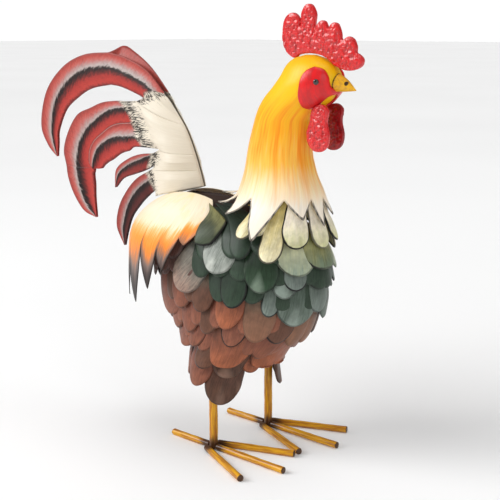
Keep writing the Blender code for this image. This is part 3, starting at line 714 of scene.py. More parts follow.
@dataclass(frozen=True)
class SaddleEnamel(Enamel):
    """Cream saddle paint dragged into orange streaks, with smoky grey-black finger tips and a dark line on the lower
    finger edges that is partly painted edge and partly painted shadow.
    """

    def paint(self, tree: bpy.types.NodeTree, shader: bpy.types.Node) -> None:
        """Grades the colour down each finger, with streaked edges between the colours."""
        tone = add_node(tree, "ShaderNodeAttribute", {"attribute_name": "tone"})
        rim = add_node(tree, "ShaderNodeAttribute", {"attribute_name": "rim"})
        ink = add_node(tree, "ShaderNodeAttribute", {"attribute_name": "ink"})
        streak = self.strokes(tree, 1.3, 30.0)
        cloud = self.strokes(tree, 14.0, 14.0)
        fine = self.strokes(tree, 0.7, 18.0)
        uneven = add_node(tree, "ShaderNodeMath", {"operation": "MULTIPLY_ADD"}, {0: streak, 1: 0.34, 2: -0.17})
        place = add_node(
            tree, "ShaderNodeMath", {"operation": "ADD"}, {0: tone.outputs["Fac"], 1: uneven.outputs["Value"]}
        )
        base = add_node(
            tree, "ShaderNodeValToRGB",
            {
                "stops": (
                    (0.0, "#F2E3C4"), (0.2, "#FBEBD2"), (0.36, "#FCE2BE"), (0.42, "#FDC27A"), (0.48, "#FF9E3A"),
                    (0.58, "#F58A2E"), (0.66, "#C27C50"), (0.76, "#7E6A62"), (0.9, "#4A3D3A"), (1.0, "#2A201E"),
                )
            },
            {"Fac": place.outputs["Value"]},
        )
        sunny = add_node(
            tree, "ShaderNodeMapRange", {"interpolation_type": "SMOOTHSTEP"},
            {"Value": cloud, "From Min": 0.5, "From Max": 0.68, "To Max": 0.45},
        )
        topmost = add_node(
            tree, "ShaderNodeMapRange", None,
            {"Value": tone.outputs["Fac"], "From Min": 0.36, "From Max": 0.1, "To Max": 1.0},
        )
        amount = add_node(
            tree, "ShaderNodeMath", {"operation": "MULTIPLY"},
            {0: sunny.outputs["Result"], 1: topmost.outputs["Result"]},
        )
        yellowed = add_node(
            tree, "ShaderNodeMix", {"data_type": "RGBA"},
            {0: amount.outputs["Value"], 6: base.outputs["Color"], 7: linear("#F0DF92")},
        )
        combed = add_node(
            tree, "ShaderNodeMapRange", None,
            {"Value": fine, "From Min": 0.3, "From Max": 0.7, "To Min": 0.9, "To Max": 1.06},
        )
        brushed = add_node(
            tree, "ShaderNodeMix", {"data_type": "RGBA", "blend_type": "MULTIPLY"},
            {0: 1.0, 6: yellowed.outputs[2], 7: combed.outputs["Result"]},
        )
        # Dark line on the lower finger edges: partly painted edge, partly painted shadow where the fingers hang over
        # the feathers
        line = add_node(
            tree, "ShaderNodeMapRange", {"interpolation_type": "SMOOTHSTEP"},
            {"Value": rim.outputs["Fac"], "From Min": 1.7, "From Max": 0.8, "To Max": 1.0},
        )
        inked_and_shadowed = add_node(
            tree, "ShaderNodeMath", {"operation": "MULTIPLY"},
            {0: line.outputs["Result"], 1: ink.outputs["Fac"]},
        )
        final = add_node(
            tree, "ShaderNodeMix", {"data_type": "RGBA"},
            {0: inked_and_shadowed.outputs["Value"], 6: brushed.outputs[2], 7: linear("#2A211C")},
        )
        self.finish(tree, shader, final.outputs[2])


@dataclass(frozen=True)
class PlainEnamel(Enamel):
    """One colour of enamel, clouded and streaked, that darkens where its tone layer is high: at welds and cut ends, in
    the nostrils and the joint at the beak's root, towards the bottom of the face plates, and as painted shade in the
    pebble dents and along the rims of the comb and wattles and under the beak.
    """

    colour: str = "#D21F1F"
    second: str = "#A81616"
    third: str = "#3A1410"
    dark: float = 0.0
    width: float = 3.0
    length: float = 20.0

    def paint(self, tree: bpy.types.NodeTree, shader: bpy.types.Node) -> None:
        """Streaks two colours together and lays the third where the tone is high."""
        tone = add_node(tree, "ShaderNodeAttribute", {"attribute_name": "tone"})
        soft = self.strokes(tree, self.width, self.length)
        fine = self.strokes(tree, self.width * 0.35, self.length * 0.8, 3)
        mixed = add_node(
            tree, "ShaderNodeMapRange", {"interpolation_type": "SMOOTHSTEP"},
            {"Value": soft, "From Min": 0.38, "From Max": 0.66, "To Max": 1.0},
        )
        base = add_node(
            tree, "ShaderNodeMix", {"data_type": "RGBA"},
            {0: mixed.outputs["Result"], 6: linear(self.colour), 7: linear(self.second)},
        )
        uneven = add_node(tree, "ShaderNodeMath", {"operation": "MULTIPLY_ADD"}, {0: fine, 1: 1.1, 2: -0.55})
        place = add_node(
            tree, "ShaderNodeMath", {"operation": "ADD"}, {0: tone.outputs["Fac"], 1: uneven.outputs["Value"]}
        )
        darkened = add_node(
            tree, "ShaderNodeMapRange", {"interpolation_type": "SMOOTHSTEP"},
            {"Value": place.outputs["Value"], "From Min": 0.3, "From Max": 0.75, "To Max": self.dark},
        )
        final = add_node(
            tree, "ShaderNodeMix", {"data_type": "RGBA"},
            {0: darkened.outputs["Result"], 6: base.outputs[2], 7: linear(self.third)},
        )
        self.finish(tree, shader, final.outputs[2])


class Coat(Enum):
    """The other paints of the sculpture."""

    NECK = NeckEnamel("enamel_neck_yellow", roughness=0.4, coat=0.05, brush=0.12)
    TAIL = TailEnamel("enamel_tail_red", roughness=0.45)
    SADDLE = SaddleEnamel("enamel_saddle_cream", roughness=0.42)
    COMB = PlainEnamel("enamel_comb_red", roughness=0.26, coat=0.3, gloss=0.6, brush=0.1, colour="#E0161A", second="#C51217", third="#7A0E10", dark=0.6, width=6, length=6)
    FACE = PlainEnamel("enamel_face_red", roughness=0.34, coat=0.25, colour="#E5191D", second="#C92226", third="#8F2A28", dark=0.35, width=5, length=16)
    # The far wattle's red, made darker than the comb red it matches: painted shade
    WATTLE_FAR = PlainEnamel("enamel_wattle_crimson", roughness=0.3, coat=0.3, colour="#A3171A", second="#7E1013", third="#4A0A0C", dark=0.5, width=6, length=8)
    BEAK = PlainEnamel("enamel_beak_ochre", roughness=0.38, coat=0.2, colour="#EBB01A", second="#D49A2A", third="#3B2415", dark=1.0, width=3, length=16)
    ROD = PlainEnamel("enamel_rod_ochre", roughness=0.36, coat=0.25, colour="#DDA012", second="#A8641C", third="#3E2216", dark=0.95, width=2.2, length=34)
    EYE = PlainEnamel("enamel_eye_black", roughness=0.12, coat=1.0, gloss=0.6, brush=0.0, colour="#0A0909", second="#120F0E", third="#050505")
    SHELL = PlainEnamel("enamel_shell_brown", roughness=0.55, coat=0.0, colour="#35211A", second="#241611", third="#120B09", dark=0.4, width=6, length=20)


# --- Head and neck ---------------------------------------------------------------------------


@dataclass(frozen=True)
class Lappet:
    """One pointed lappet of the neck's hem: where its tip hangs, how far it flares, how full it is."""

    angle: float
    tip: float
    flare: float
    fullness: float


@dataclass
class HeadAndNeck:
    """The hollow pressed shell of the head and neck, open below, with its hem of lappets."""

    lappets: tuple[Lappet, ...] = (
        Lappet(0, 268, 3, 0.95), Lappet(26, 277, 3, 0.95), Lappet(75, 254, 3, 1.0),
        Lappet(116, 276, 8, 1.5), Lappet(142, 281, 16, 1.9), Lappet(167, 290, 22, 1.6),
    )
    valley: float = 299.0
    collar: float = 303.0
    crown: float = 449.5
    columns: int = 22
    thickness: float = 1.0

    def hem(self) -> tuple[Array, Array, Array, Array, Array]:
        """Lays the hem's columns round the neck.

        Returns:
            Angles in degrees, hem heights, tip heights, flares and places across each lappet.
        """
        both = [(s * p.angle, p.tip, p.flare, p.fullness) for p in self.lappets for s in (-1, 1)]
        tips = sorted(set(both))
        angles, hems, lows, flares, across = [], [], [], [], []
        for i, (angle, tip, flare, full) in enumerate(tips):
            before = tips[i - 1][0] - (360 if i == 0 else 0)
            after = tips[(i + 1) % len(tips)][0] + (360 if i == len(tips) - 1 else 0)
            for u in np.linspace(-1, 1, self.columns, endpoint=False):
                half = (after - angle) / 2 if u > 0 else (angle - before) / 2
                angles.append(angle + u * half)
                rounded = math.sqrt(u * u + 0.0016) ** full
                hems.append(tip + (self.valley - tip) * min(rounded, 1))
                lows.append(tip)
                flares.append(flare)
                across.append(u)
        return tuple(np.array(v) for v in (angles, hems, lows, flares, across))

    def build(self) -> None:
        """Makes and dresses the shell."""
        angles, hems, lows, flares, across = self.hem()
        turn = np.radians(angles)
        steps = np.linspace(0, 1, 15)
        lower = [hems + (self.collar - hems) * t for t in steps[:-1]]
        upper = [np.full_like(hems, h) for h in np.concatenate((np.linspace(self.collar, 440, 70), np.linspace(441.5, self.crown, 9)))]
        heights = np.array(lower + upper)
        reach = np.clip((self.collar - heights) / (self.collar - lows), 0, 1)
        lift = flares * reach**2
        points = NECK.lifted(np.broadcast_to(turn, heights.shape), heights, lift)
        rows, columns = heights.shape
        arc = turn * 52
        hem_line = np.stack((np.append(arc, arc[0] + 52 * math.tau), np.append(hems, hems[0])), axis=1)
        flat = np.stack((np.broadcast_to(arc, heights.shape), heights), axis=-1).reshape(-1, 2)
        rim = np.minimum(distance_to_line(flat, hem_line), 12).reshape(heights.shape)
        depth = np.clip((self.valley + 2 - heights) / 10, 0, 1)
        # Hem line strength: partly painted edge, partly painted shadow below the lappets
        ink = depth * (0.55 + 0.45 * np.sin(arc * 0.9) ** 2)
        tone = (heights - 250) / 200
        lay = np.stack((np.broadcast_to(turn * 34, heights.shape), heights, np.zeros_like(heights)), axis=-1)
        mould = Mould()
        mould.add(points, grid_faces(rows, columns, closed=True), tone=tone, rim=rim, ink=ink, lay=lay)
        last = (rows - 1) * columns
        mould.faces.append(tuple(range(last, last + columns)))
        mould.looks.append(0)
        shell = mould.piece("neck_shell", [Coat.NECK.value.build()])
        thicken(shell, self.thickness, -1)
        settle(shell, "yellow_enamel", "neck_and_head")


@dataclass
class Face:
    """The raised red face plates with their eye beads."""

    centre: tuple[float, float] = (105, 416)
    outline: tuple[tuple[float, float], ...] = (
        (104, 438), (97, 434), (92.5, 426), (91, 417), (89.5, 406), (90, 397), (94, 394.5), (100, 397),
        (108, 403), (116, 409.5), (121, 412.5), (119, 419), (118.5, 427), (112.5, 435.5),
    )
    lift: float = 2.4
    dome: float = 1.8
    thickness: float = 1.1
    eye: tuple[float, float] = (109, 423)
    eye_radius: float = 3.0
    eye_depth: float = 1.9
    eye_lift: float = 4.4

    def plate(self, side: str, sign: int) -> None:
        """Makes one face plate, curved to the head.

        Args:
            side: left or right.
            sign: 1 for left, -1 for right.
        """
        rim = through_points((*self.outline, self.outline[0]), 73)[:-1]
        rings = np.linspace(1, 0.04, 18)
        centre = np.array(self.centre)
        flat = centre + rings[:, None, None] * (rim - centre)
        angle = sign * NECK.angle_at(flat[..., 0], flat[..., 1])
        roll = np.clip((1 - rings) / 0.08, 0, 1) ** 0.5
        lift = self.lift - 1.4 + 1.4 * roll + self.dome * (1 - rings**2)
        points = NECK.lifted(angle, flat[..., 1], np.broadcast_to(lift[:, None], angle.shape))
        low = np.clip((412 - flat[..., 1]) / 14, 0, 1) * 0.7
        lay = np.stack((flat[..., 0], flat[..., 1], np.zeros_like(angle)), axis=-1)
        mould = Mould()
        count = len(rim)
        faces = grid_faces(len(rings), count, closed=True)
        faces.append(tuple(range((len(rings) - 1) * count, len(rings) * count)))
        mould.add(points, faces, flip=sign > 0, tone=low, lay=lay)
        plate = mould.piece(f"face_{side}", [Coat.FACE.value.build()])
        thicken(plate, self.thickness, -1)
        settle(plate, "red_enamel", f"face_plate_{side}")

    def bead(self, side: str, sign: int) -> None:
        """Makes one eye bead, a flattened glossy dome.

        Args:
            side: left or right.
            sign: 1 for left, -1 for right.
        """
        angle = np.array(sign * NECK.angle_at(np.array(self.eye[0]), np.array(self.eye[1])))
        height = np.array(float(self.eye[1]))
        out = Vector(NECK.normal(angle, height))
        middle = Vector(NECK.lifted(angle, height, self.eye_lift + 0.4))
        turned = out.to_track_quat("Z", "Y").to_matrix()
        rows, columns = 20, 32
        polar = np.linspace(0.02, math.pi - 0.02, rows)
        round_ = np.linspace(0, math.tau, columns, endpoint=False)
        local = np.stack(
            (
                np.outer(np.sin(polar), np.cos(round_)) * self.eye_radius,
                np.outer(np.sin(polar), np.sin(round_)) * self.eye_radius,
                np.outer(-np.cos(polar), np.ones(columns)) * self.eye_depth,
            ),
            axis=-1,
        )
        points = local @ np.array(turned).T + np.array(middle)
        faces = grid_faces(rows, columns, closed=True)
        faces += [tuple(reversed(range(columns))), tuple(range((rows - 1) * columns, rows * columns))]
        mould = Mould()
        mould.add(points, faces, tone=np.zeros(rows * columns), lay=local)
        bead = mould.piece(f"eye_bead_{side}", [Coat.EYE.value.build()])
        settle(bead, "black_enamel", f"eye_{side}")

    def build(self) -> None:
        """Makes both plates and both beads."""
        for side, sign in SIDES:
            self.plate(side, sign)
            self.bead(side, sign)


@dataclass
class Beak:
    """The folded cone of the beak, with a nostril on each side."""

    root: float = 422
    tip: tuple[float, float] = (145.5, 414.5)
    half_height: float = 9
    half_angle: float = 18
    lift: float = 0.9
    nostril: tuple[float, float] = (134.5, 421.5)

    def build(self) -> None:
        """Makes and dresses the beak."""
        sides, rows = 48, 34
        turn = np.linspace(0, math.tau, sides, endpoint=False)
        ring_angle = np.radians(self.half_angle) * np.sin(turn)
        ring_height = self.root + self.half_height * np.cos(turn)
        root = NECK.lifted(ring_angle, ring_height, self.lift)
        tip = np.array((self.tip[0], 0, self.tip[1]))
        rings, tones = [], []
        for t in np.linspace(0, 0.985, rows):
            ring = root + (tip - root) * t
            bow = 2.2 * math.sin(math.pi * t)
            ring[:, 2] += np.where(root[:, 2] > self.root, bow * np.cos(turn) ** 0.5 if False else bow * np.abs(np.cos(turn)), -0.2 * bow * np.abs(np.cos(turn)))
            rings.append(ring)
            tones.append(np.full(sides, max(0.0, 1 - t / 0.07)))
        points = np.array(rings)
        tone = np.array(tones)
        spot = np.hypot(points[..., 0] - self.nostril[0], points[..., 2] - self.nostril[1])
        tone = np.maximum(tone, np.clip(2.4 - spot, 0, 1) * 1.5)
        # Painted shade: the beak darkens below 417 mm, towards its underside
        shade = np.clip((417 - points[..., 2]) / 6, 0, 1) * 0.25
        points[..., 1] -= np.sign(points[..., 1]) * np.clip(1.6 - spot, 0, 1) * 0.5
        faces = grid_faces(rows, sides, closed=True)
        faces += [tuple(reversed(range(sides))), tuple(range((rows - 1) * sides, rows * sides))]
        lay = np.stack((points[..., 2], points[..., 0], points[..., 1]), axis=-1)
        mould = Mould()
        mould.add(points, faces, flip=True, tone=tone + shade, lay=lay)
        settle(mould.piece("beak_cone", [Coat.BEAK.value.build()]), "ochre_enamel", "beak")


@dataclass(frozen=True)
class EmbossedPlate:
    """An upright plate cut to an outline, pillowed and pressed with pebbles."""

    name: str
    outline: tuple[tuple[float, float], ...]
    middle: float
    half_thickness: float
    pillow: float
    pebble: float
    voxel: float = 0.9

    def flat(self) -> bpy.types.Mesh:
        """Cuts the plate as a mesh, lying in X and Z about Y = 0, in millimetres."""
        curve = bpy.data.curves.new("cut", "CURVE")
        curve.dimensions = "2D"
        curve.fill_mode = "BOTH"
        curve.extrude = self.half_thickness * 0.5
        curve.bevel_depth = self.half_thickness * 0.5
        curve.bevel_resolution = 2
        curve.resolution_u = 8
        spline = curve.splines.new("BEZIER")
        spline.bezier_points.add(len(self.outline) - 1)
        for point, place in zip(spline.bezier_points, self.outline):
            point.co = (place[0], place[1], 0)
            point.handle_left_type = "AUTO"
            point.handle_right_type = "AUTO"
        spline.use_cyclic_u = True
        thing = bpy.data.objects.new("cut", curve)
        bpy.context.scene.collection.objects.link(thing)
        thing.rotation_euler = (math.radians(90), 0, 0)
        bpy.context.view_layer.update()
        graph = bpy.context.evaluated_depsgraph_get()
        mesh = bpy.data.meshes.new_from_object(thing.evaluated_get(graph))
        mesh.transform(thing.matrix_world)
        bpy.data.objects.remove(thing, do_unlink=True)
        solid = bpy.data.objects.new("cut", mesh)
        bpy.context.scene.collection.objects.link(solid)
        grain = solid.modifiers.new("Grain", "REMESH")
        grain.mode = "VOXEL"
        grain.voxel_size = self.voxel
        bpy.context.view_layer.update()
        graph = bpy.context.evaluated_depsgraph_get()
        fine = bpy.data.meshes.new_from_object(solid.evaluated_get(graph))
        bpy.data.objects.remove(solid, do_unlink=True)
        return fine

    def edge(self) -> Array:
        """Gives the outline as a closed line of many points in X and Z."""
        loop = np.array(self.outline, float)
        closed = np.concatenate((loop[-1:], loop, loop[:2]))
        count = len(loop) * 8 + 1
        at = np.linspace(1, len(loop) + 1, count)
        i = np.clip(at.astype(int), 1, len(loop))
        t = (at - i)[:, None]
        a, b, c, d = (closed[(i - 1 + k) % len(closed)] for k in range(4))
        return 0.5 * (2 * b + (c - a) * t + (2 * a - 5 * b + 4 * c - d) * t**2 + (3 * b - a - 3 * c + d) * t**3)

    def build(self, coat: Coat) -> bpy.types.Object:
        """Presses the plate.

        Args:
            coat: the paint that it takes.

        Returns:
            The plate as an object, not yet settled.
        """
        mesh = self.flat()
        count = len(mesh.vertices)
        co = np.empty(count * 3)
        mesh.vertices.foreach_get("co", co)
        co = co.reshape(-1, 3)
        depth = np.minimum(distance_to_line(co[:, (0, 2)], self.edge()), 12)
        swell = 1 + self.pillow * (1 - np.exp(-depth / 3.5))
        pebbles = np.array([noise.fractal(Vector((x * 0.3, y * 0.05, z * 0.3)), 0.6, 2.1, 3) for x, y, z in co])
        face = np.clip(np.abs(co[:, 1]) / self.half_thickness, 0, 1) ** 2 * np.clip(depth / 2.5, 0, 1)
        co[:, 1] *= swell
        co[:, 1] += np.sign(co[:, 1]) * face * self.pebble * np.clip(pebbles * 1.6, -1, 1)
        # Darker in the pebble dents and within 1.6 mm of the rim: painted shade
        tone = np.clip(0.55 - pebbles * 1.2, 0, 1) * face * 0.6 + np.clip(1.6 - depth, 0, 1) * 0.35
        faces = [tuple(p.vertices) for p in mesh.polygons]
        lay = co[:, (0, 2, 1)].copy()
        co[:, 1] += self.middle
        bpy.data.meshes.remove(mesh)
        mould = Mould()
        mould.add(co, faces, tone=tone, lay=lay)
        return mould.piece(self.name, [coat.value.build()], sharp=180)


@dataclass
class Comb:
    """The comb: a thick plate with six lobes that follows the top of the head."""

    lobes: tuple[tuple[tuple[float, float], ...], ...] = (
        ((50, 476), (60, 491), (69, 486)), ((76, 494), (83, 500), (90, 493)),
        ((95, 479), (102, 483), (106, 478)), ((110, 475), (117, 481), (123, 473)),
        ((129, 464), (136, 467), (143, 459)), ((147, 450), (152, 444), (144, 437)),
    )
    notches: tuple[tuple[float, float], ...] = ((71.5, 477), (92.5, 475), (107.5, 472), (125.5, 464), (144, 451))
    lift: float = 3.2

    def build(self) -> None:
        """Presses and dresses the comb."""
        outline: list[tuple[float, float]] = []
        for i, lobe in enumerate(self.lobes):
            outline.extend(lobe)
            if i < len(self.notches):
                outline.append(self.notches[i])
        for angle, height in ((0.0, 438.0), (0.0, 444.0), (0.0, 448.0), (math.pi, 448.0), (math.pi, 445.0)):
            place = NECK.lifted(np.array(angle), np.array(height), self.lift)
            outline.append((float(place[0]), float(place[2])))
        plate = EmbossedPlate("comb_plate", tuple(outline), 0.0, 3.0, 0.35, 0.75)
        settle(plate.build(Coat.COMB), "red_enamel", "comb")


@dataclass
class Wattles:
    """The two long embossed wattles under the beak."""

    outline: tuple[tuple[float, float], ...] = (
        (102, 396), (97, 381), (93, 366), (98, 355), (108, 351.5), (117, 356), (120, 366), (117, 381), (117, 396),
    )
    offset: float = 12.5

    def build(self) -> None:
        """Presses and dresses both wattles."""
        for side, sign in SIDES:
            plate = EmbossedPlate(f"wattle_lobe_{side}", self.outline, sign * self.offset, 2.2, 0.5, 0.7)
            # The near wattle takes the comb red, the far one its darker copy: painted shade
            coat = Coat.COMB if sign < 0 else Coat.WATTLE_FAR
            settle(plate.build(coat), "red_enamel", f"wattle_{side}")


# --- Tail ------------------------------------------------------------------------------------


@dataclass(frozen=True)
class Sickle:
    """One sickle: places along its midrib, each with the reaches to its edges and creases."""

    stations: tuple[tuple[tuple[float, float], tuple[float, ...]], ...]
    first_root: int
    hatch: float
    # How far painted shade darkens the sickle towards near-black
    dusk: float


@dataclass
class Tail:
    """The two tail halves: a hollow pod that runs out into creased sickle feathers."""

    ridge: tuple[tuple[float, float], ...] = ((-113, 379), (-99, 362), (-86, 338), (-75, 311), (-70, 296))
    roots: tuple[tuple[float, float, float], ...] = (
        (-125, 392, 1.6), (-141, 397, 8), (-183, 389, 2.5), (-167, 376, 9), (-159, 360, 6), (-148, 345, 11),
        (-141, 334, 5), (-132, 322, 13), (-154, 309, 6), (-142, 300, 13), (-141, 278, 13),
    )
    bulges: tuple[float, ...] = (0, 5, 10, 13, 15, 16, 17, 17, 17, 17, 15)
    sickles: tuple[Sickle, ...] = (
        Sickle(
            (
                ((-167, 412), (-14, 0, 19)), ((-203, 424), (-17, 0, 20)), ((-226, 429), (-17, 0, 22)),
                ((-237, 430), (-17, 0, 23)), ((-278, 425), (-19, 0, 25)), ((-313, 409), (-22, 0, 25)),
                ((-340, 382), (-25, 0, 20)), ((-351, 346), (-25, 0, 12)), ((-349, 326), (-14, 0, 8)),
                ((-344, 309), (-0.6, 0, 0.6)),
            ),
            0, 14, 0.0,
        ),
        Sickle(
            (
                ((-191, 381), (-8, 0, 20, 35, 48)), ((-206, 380), (-8, 0, 20, 36, 53)),
                ((-224, 378), (-10, 0, 20, 35, 55)), ((-243, 371), (-15, 0, 19, 33, 55)),
                ((-262, 360), (-20, 0, 19, 31, 55)), ((-279, 347), (-28, 0, 18, 31, 53)),
                ((-292, 330), (-30, 0, 19, 32, 50)), ((-299, 312), (-31, 0, 24, 32, 46)),
                ((-300, 299), (-25, 0, 31, 32, 33)), ((-299, 286), (-23, 0, 30)), ((-294, 268), (-18, 0, 28)),
                ((-283, 249), (-11, 0, 19)), ((-267, 236), (-0.6, 0, 0.6)),
            ),
            2, 42, 0.0,
        ),
        Sickle(
            (
                ((-156, 325), (-3, 0, 12)), ((-178, 318), (-7, 0, 14)), ((-199, 310), (-8, 0, 13)),
                ((-219, 297), (-8, 0, 8)), ((-228, 279), (-0.6, 0, 0.6)),
            ),
            6, 30, 0.25,
        ),
        Sickle(
            (
                ((-161, 294), (-12, 0, 14)), ((-180, 282), (-14, 0, 14)), ((-195, 267), (-15, 0, 13)),
                ((-206, 248), (-17, 0, 9)), ((-213, 227), (-14, 0, 7)), ((-213, 206), (-0.6, 0, 0.6)),
            ),
            8, 26, 0.45,
        ),
    )
    crease: float = 4.5
    edge_spread: float = 1.6
    open_edge: tuple[tuple[float, float], ...] = ((1, 3), (3, 5), (7, 10), (9, 13))
    thickness: float = 0.9
    pod_steps: int = 26
    across_steps: int = 8

    def pod(self, opened: bool, lanes: Array, t: Array) -> Array:
        """Gives the pod's points on the left side.

        Args:
            opened: whether the top edge stands open.
            lanes: places across the roots, as broken numbers.
            t: places from the ridge, 0, to the roots, 1.

        Returns:
            Points as (t, lanes, 3).
        """
        ridge = through_points(self.ridge, len(self.roots))
        roots = np.array(self.roots)
        marks = np.arange(len(roots))
        if opened:
            roots[0, 1] += self.open_edge[0][0]
            roots[0, 2] += self.open_edge[0][1]
        front = np.stack([smooth_curve(marks, ridge[:, k], lanes) for k in range(2)], axis=1)
        back = np.stack([np.interp(lanes, marks, roots[:, k]) for k in range(3)], axis=1)
        bulge = smooth_curve(marks, self.bulges, lanes)
        s = t[:, None]
        x = front[:, 0] + (back[:, 0] - front[:, 0]) * s
        z = front[:, 1] + (back[:, 1] - front[:, 1]) * s
        y = self.edge_spread + (back[:, 2] - self.edge_spread) * s**1.5 + bulge * np.sin(math.pi * s) ** 0.8
        return np.stack((x, y, z), axis=-1)

    def web_points(self, sickle: Sickle, opened: bool) -> list[Array]:
        """Gives each station's points across a sickle, on the left side.

        Args:
            sickle: the sickle.
            opened: whether its top edge stands open.

        Returns:
            One (lanes, 3) array for each station.
        """
        rows = []
        stations = sickle.stations
        for i, (place, reaches) in enumerate(stations):
            before, after = stations[max(i - 1, 0)][0], stations[min(i + 1, len(stations) - 1)][0]
            along = np.array(after, float) - np.array(before, float)
            along /= np.linalg.norm(along)
            inward = np.array((-along[1], along[0]))
            narrowing = 1 - ((i + 1) / len(stations)) ** 3
            row = []
            for c, reach in enumerate(reaches):
                x, z = np.array(place) + inward * reach
                y = self.edge_spread + (self.crease * narrowing if c % 2 else 0)
                if opened and sickle.first_root + c == 0 and i + 1 < len(self.open_edge):
                    z += self.open_edge[i + 1][0]
                    y += self.open_edge[i + 1][1]
                row.append((x, y, z))
            rows.append(np.array(row))
        return rows

    def spread(self, lanes: Array) -> tuple[Array, Array]:
        """Fills in between the lanes of each station with shallow troughs.

        Args:
            lanes: (stations, lanes, 3) points.

        Returns:
            The filled points and the broken lane number of each column.
        """
        marks = np.arange(lanes.shape[1])
        at = np.linspace(0, lanes.shape[1] - 1, (lanes.shape[1] - 1) * self.across_steps + 1)
        i = np.clip(at.astype(int), 0, len(marks) - 2)
        t = (at - i)[None, :, None]
        filled = lanes[:, i] * (1 - t) + lanes[:, i + 1] * t
        width = np.linalg.norm(lanes[:, i + 1] - lanes[:, i], axis=-1)
        filled[..., 1] -= 0.07 * width * np.sin(math.pi * t[..., 0])
        return filled, at

    def half(self, side: str, sign: int) -> None:
        """Makes one tail half.

        Args:
            side: left or right.
            sign: 1 for left, -1 for right.
        """
        opened = sign > 0
        mould = Mould()
        for k, sickle in enumerate(self.sickles):
            webs = self.web_points(sickle, opened)
            lanes = len(webs[0])
            lane_marks = np.linspace(0, lanes - 1, (lanes - 1) * self.across_steps + 1)
            pod_t = np.linspace(0, 1, self.pod_steps)
            pod = self.pod(opened, sickle.first_root + lane_marks, pod_t)
            start = pod[-1, :: self.across_steps]
            before = pod[-6, :: self.across_steps]
            full = [w for w in webs if len(w) == lanes]
            known = np.array([start, *full])
            lead = np.concatenate((before[None], known))
            fine = flowing(lead, (len(lead) - 1) * 9 + 1)[9:]
            body, _ = self.spread(fine)
            ease = np.clip(np.arange(len(body)) / 10, 0, 1)[:, None, None]
            drift = pod[-1] - body[0]
            body = body + (1 - ease) ** 2 * drift
            grid = np.concatenate((pod[:-1], body))
            tail_rows = [w for w in webs if len(w) != lanes]
            self.add_web(mould, grid, sickle, sign, lane_marks, len(pod) - 1, bool(tail_rows))
            if tail_rows:
                narrow = np.array([full[-2][:3], full[-1][:3], *tail_rows])
                narrow[1][2] = full[-1][4] * 0.5 + full[-1][2] * 0.5
                rest = flowing(narrow, (len(narrow) - 1) * 9 + 1)[9:]
                marks = np.linspace(0, 2, 2 * self.across_steps + 1)
                tip, _ = self.spread(rest)
                join = grid[-1, : 2 * self.across_steps + 1]
                tip[0, : self.across_steps + 1] = join[: self.across_steps + 1]
                self.add_web(mould, tip, sickle, sign, marks, -60, False, flow_start=150)
        half = mould.piece(f"tail_{side}_half", [Coat.TAIL.value.build()], sharp=32)
        thicken(half, self.thickness, -1)
        settle(half, "crimson_enamel", f"tail_{side}")

    def add_web(
        self, mould: Mould, grid: Array, sickle: Sickle, sign: int, marks: Array, pod_rows: int,
        goes_on: bool, flow_start: float = 0.0,
    ) -> None:
        """Adds one web with its painting layers.

        Args:
            mould: the tail half's mould.
            grid: (rows, columns, 3) points on the left side.
            sickle: the sickle that the web belongs to.
            sign: 1 for left, -1 for right.
            marks: the broken lane number of each column.
            pod_rows: rows that lie on the pod, or below 0 where none does.
            goes_on: whether more of the sickle follows.
            flow_start: how far along the feather the first row lies.
        """
        rows, columns = grid.shape[:2]
        steps = np.linalg.norm(np.diff(grid, axis=0), axis=-1)
        flow = flow_start + np.concatenate((np.zeros((1, columns)), np.cumsum(steps, axis=0)))
        lane = np.concatenate(([0], np.cumsum(np.linalg.norm(np.diff(grid[min(rows - 1, 30)], axis=0), axis=-1))))
        root_flow = flow[max(pod_rows, 0)] if pod_rows > 0 else flow[0] * 0
        end = root_flow + sickle.hatch
        tone = np.where(flow < end, flow / np.maximum(end, 1), 1.0 + (flow - end) / 50)
        web = np.broadcast_to((marks % 2) / 2, flow.shape).copy()
        web = np.where(np.broadcast_to(marks, flow.shape) == marks[-1], 1.0, web)
        second = np.broadcast_to(marks >= 2, flow.shape)
        web = np.where(second & (marks % 2 == 0) & (marks != marks[-1]), 0.0, web)
        length = flow[-1].max()
        # Painted shade on the lower sickles, stronger on the lower half of the web and growing over 30 mm from the root
        dusk = np.clip(sickle.dusk * 1.3 * (0.4 + np.broadcast_to(web > 0.5, flow.shape)), 0, 0.85)
        dusk = dusk * np.clip((flow - root_flow) / 30, 0, 1)
        lay = np.stack((np.broadcast_to(lane, flow.shape), flow, np.full(flow.shape, sickle.first_root * 7.0)), axis=-1)
        points = grid * (1, sign, 1)
        LOG.debug("web of %d rows, %.0f mm long, goes on: %s", rows, length, goes_on)
        mould.add(points, grid_faces(rows, columns), flip=sign < 0, tone=tone, web=web, dusk=dusk, lay=lay)

    def build(self) -> None:
        """Makes both halves."""
        for side, sign in SIDES:
            self.half(side, sign)


# --- Saddle ----------------------------------------------------------------------------------


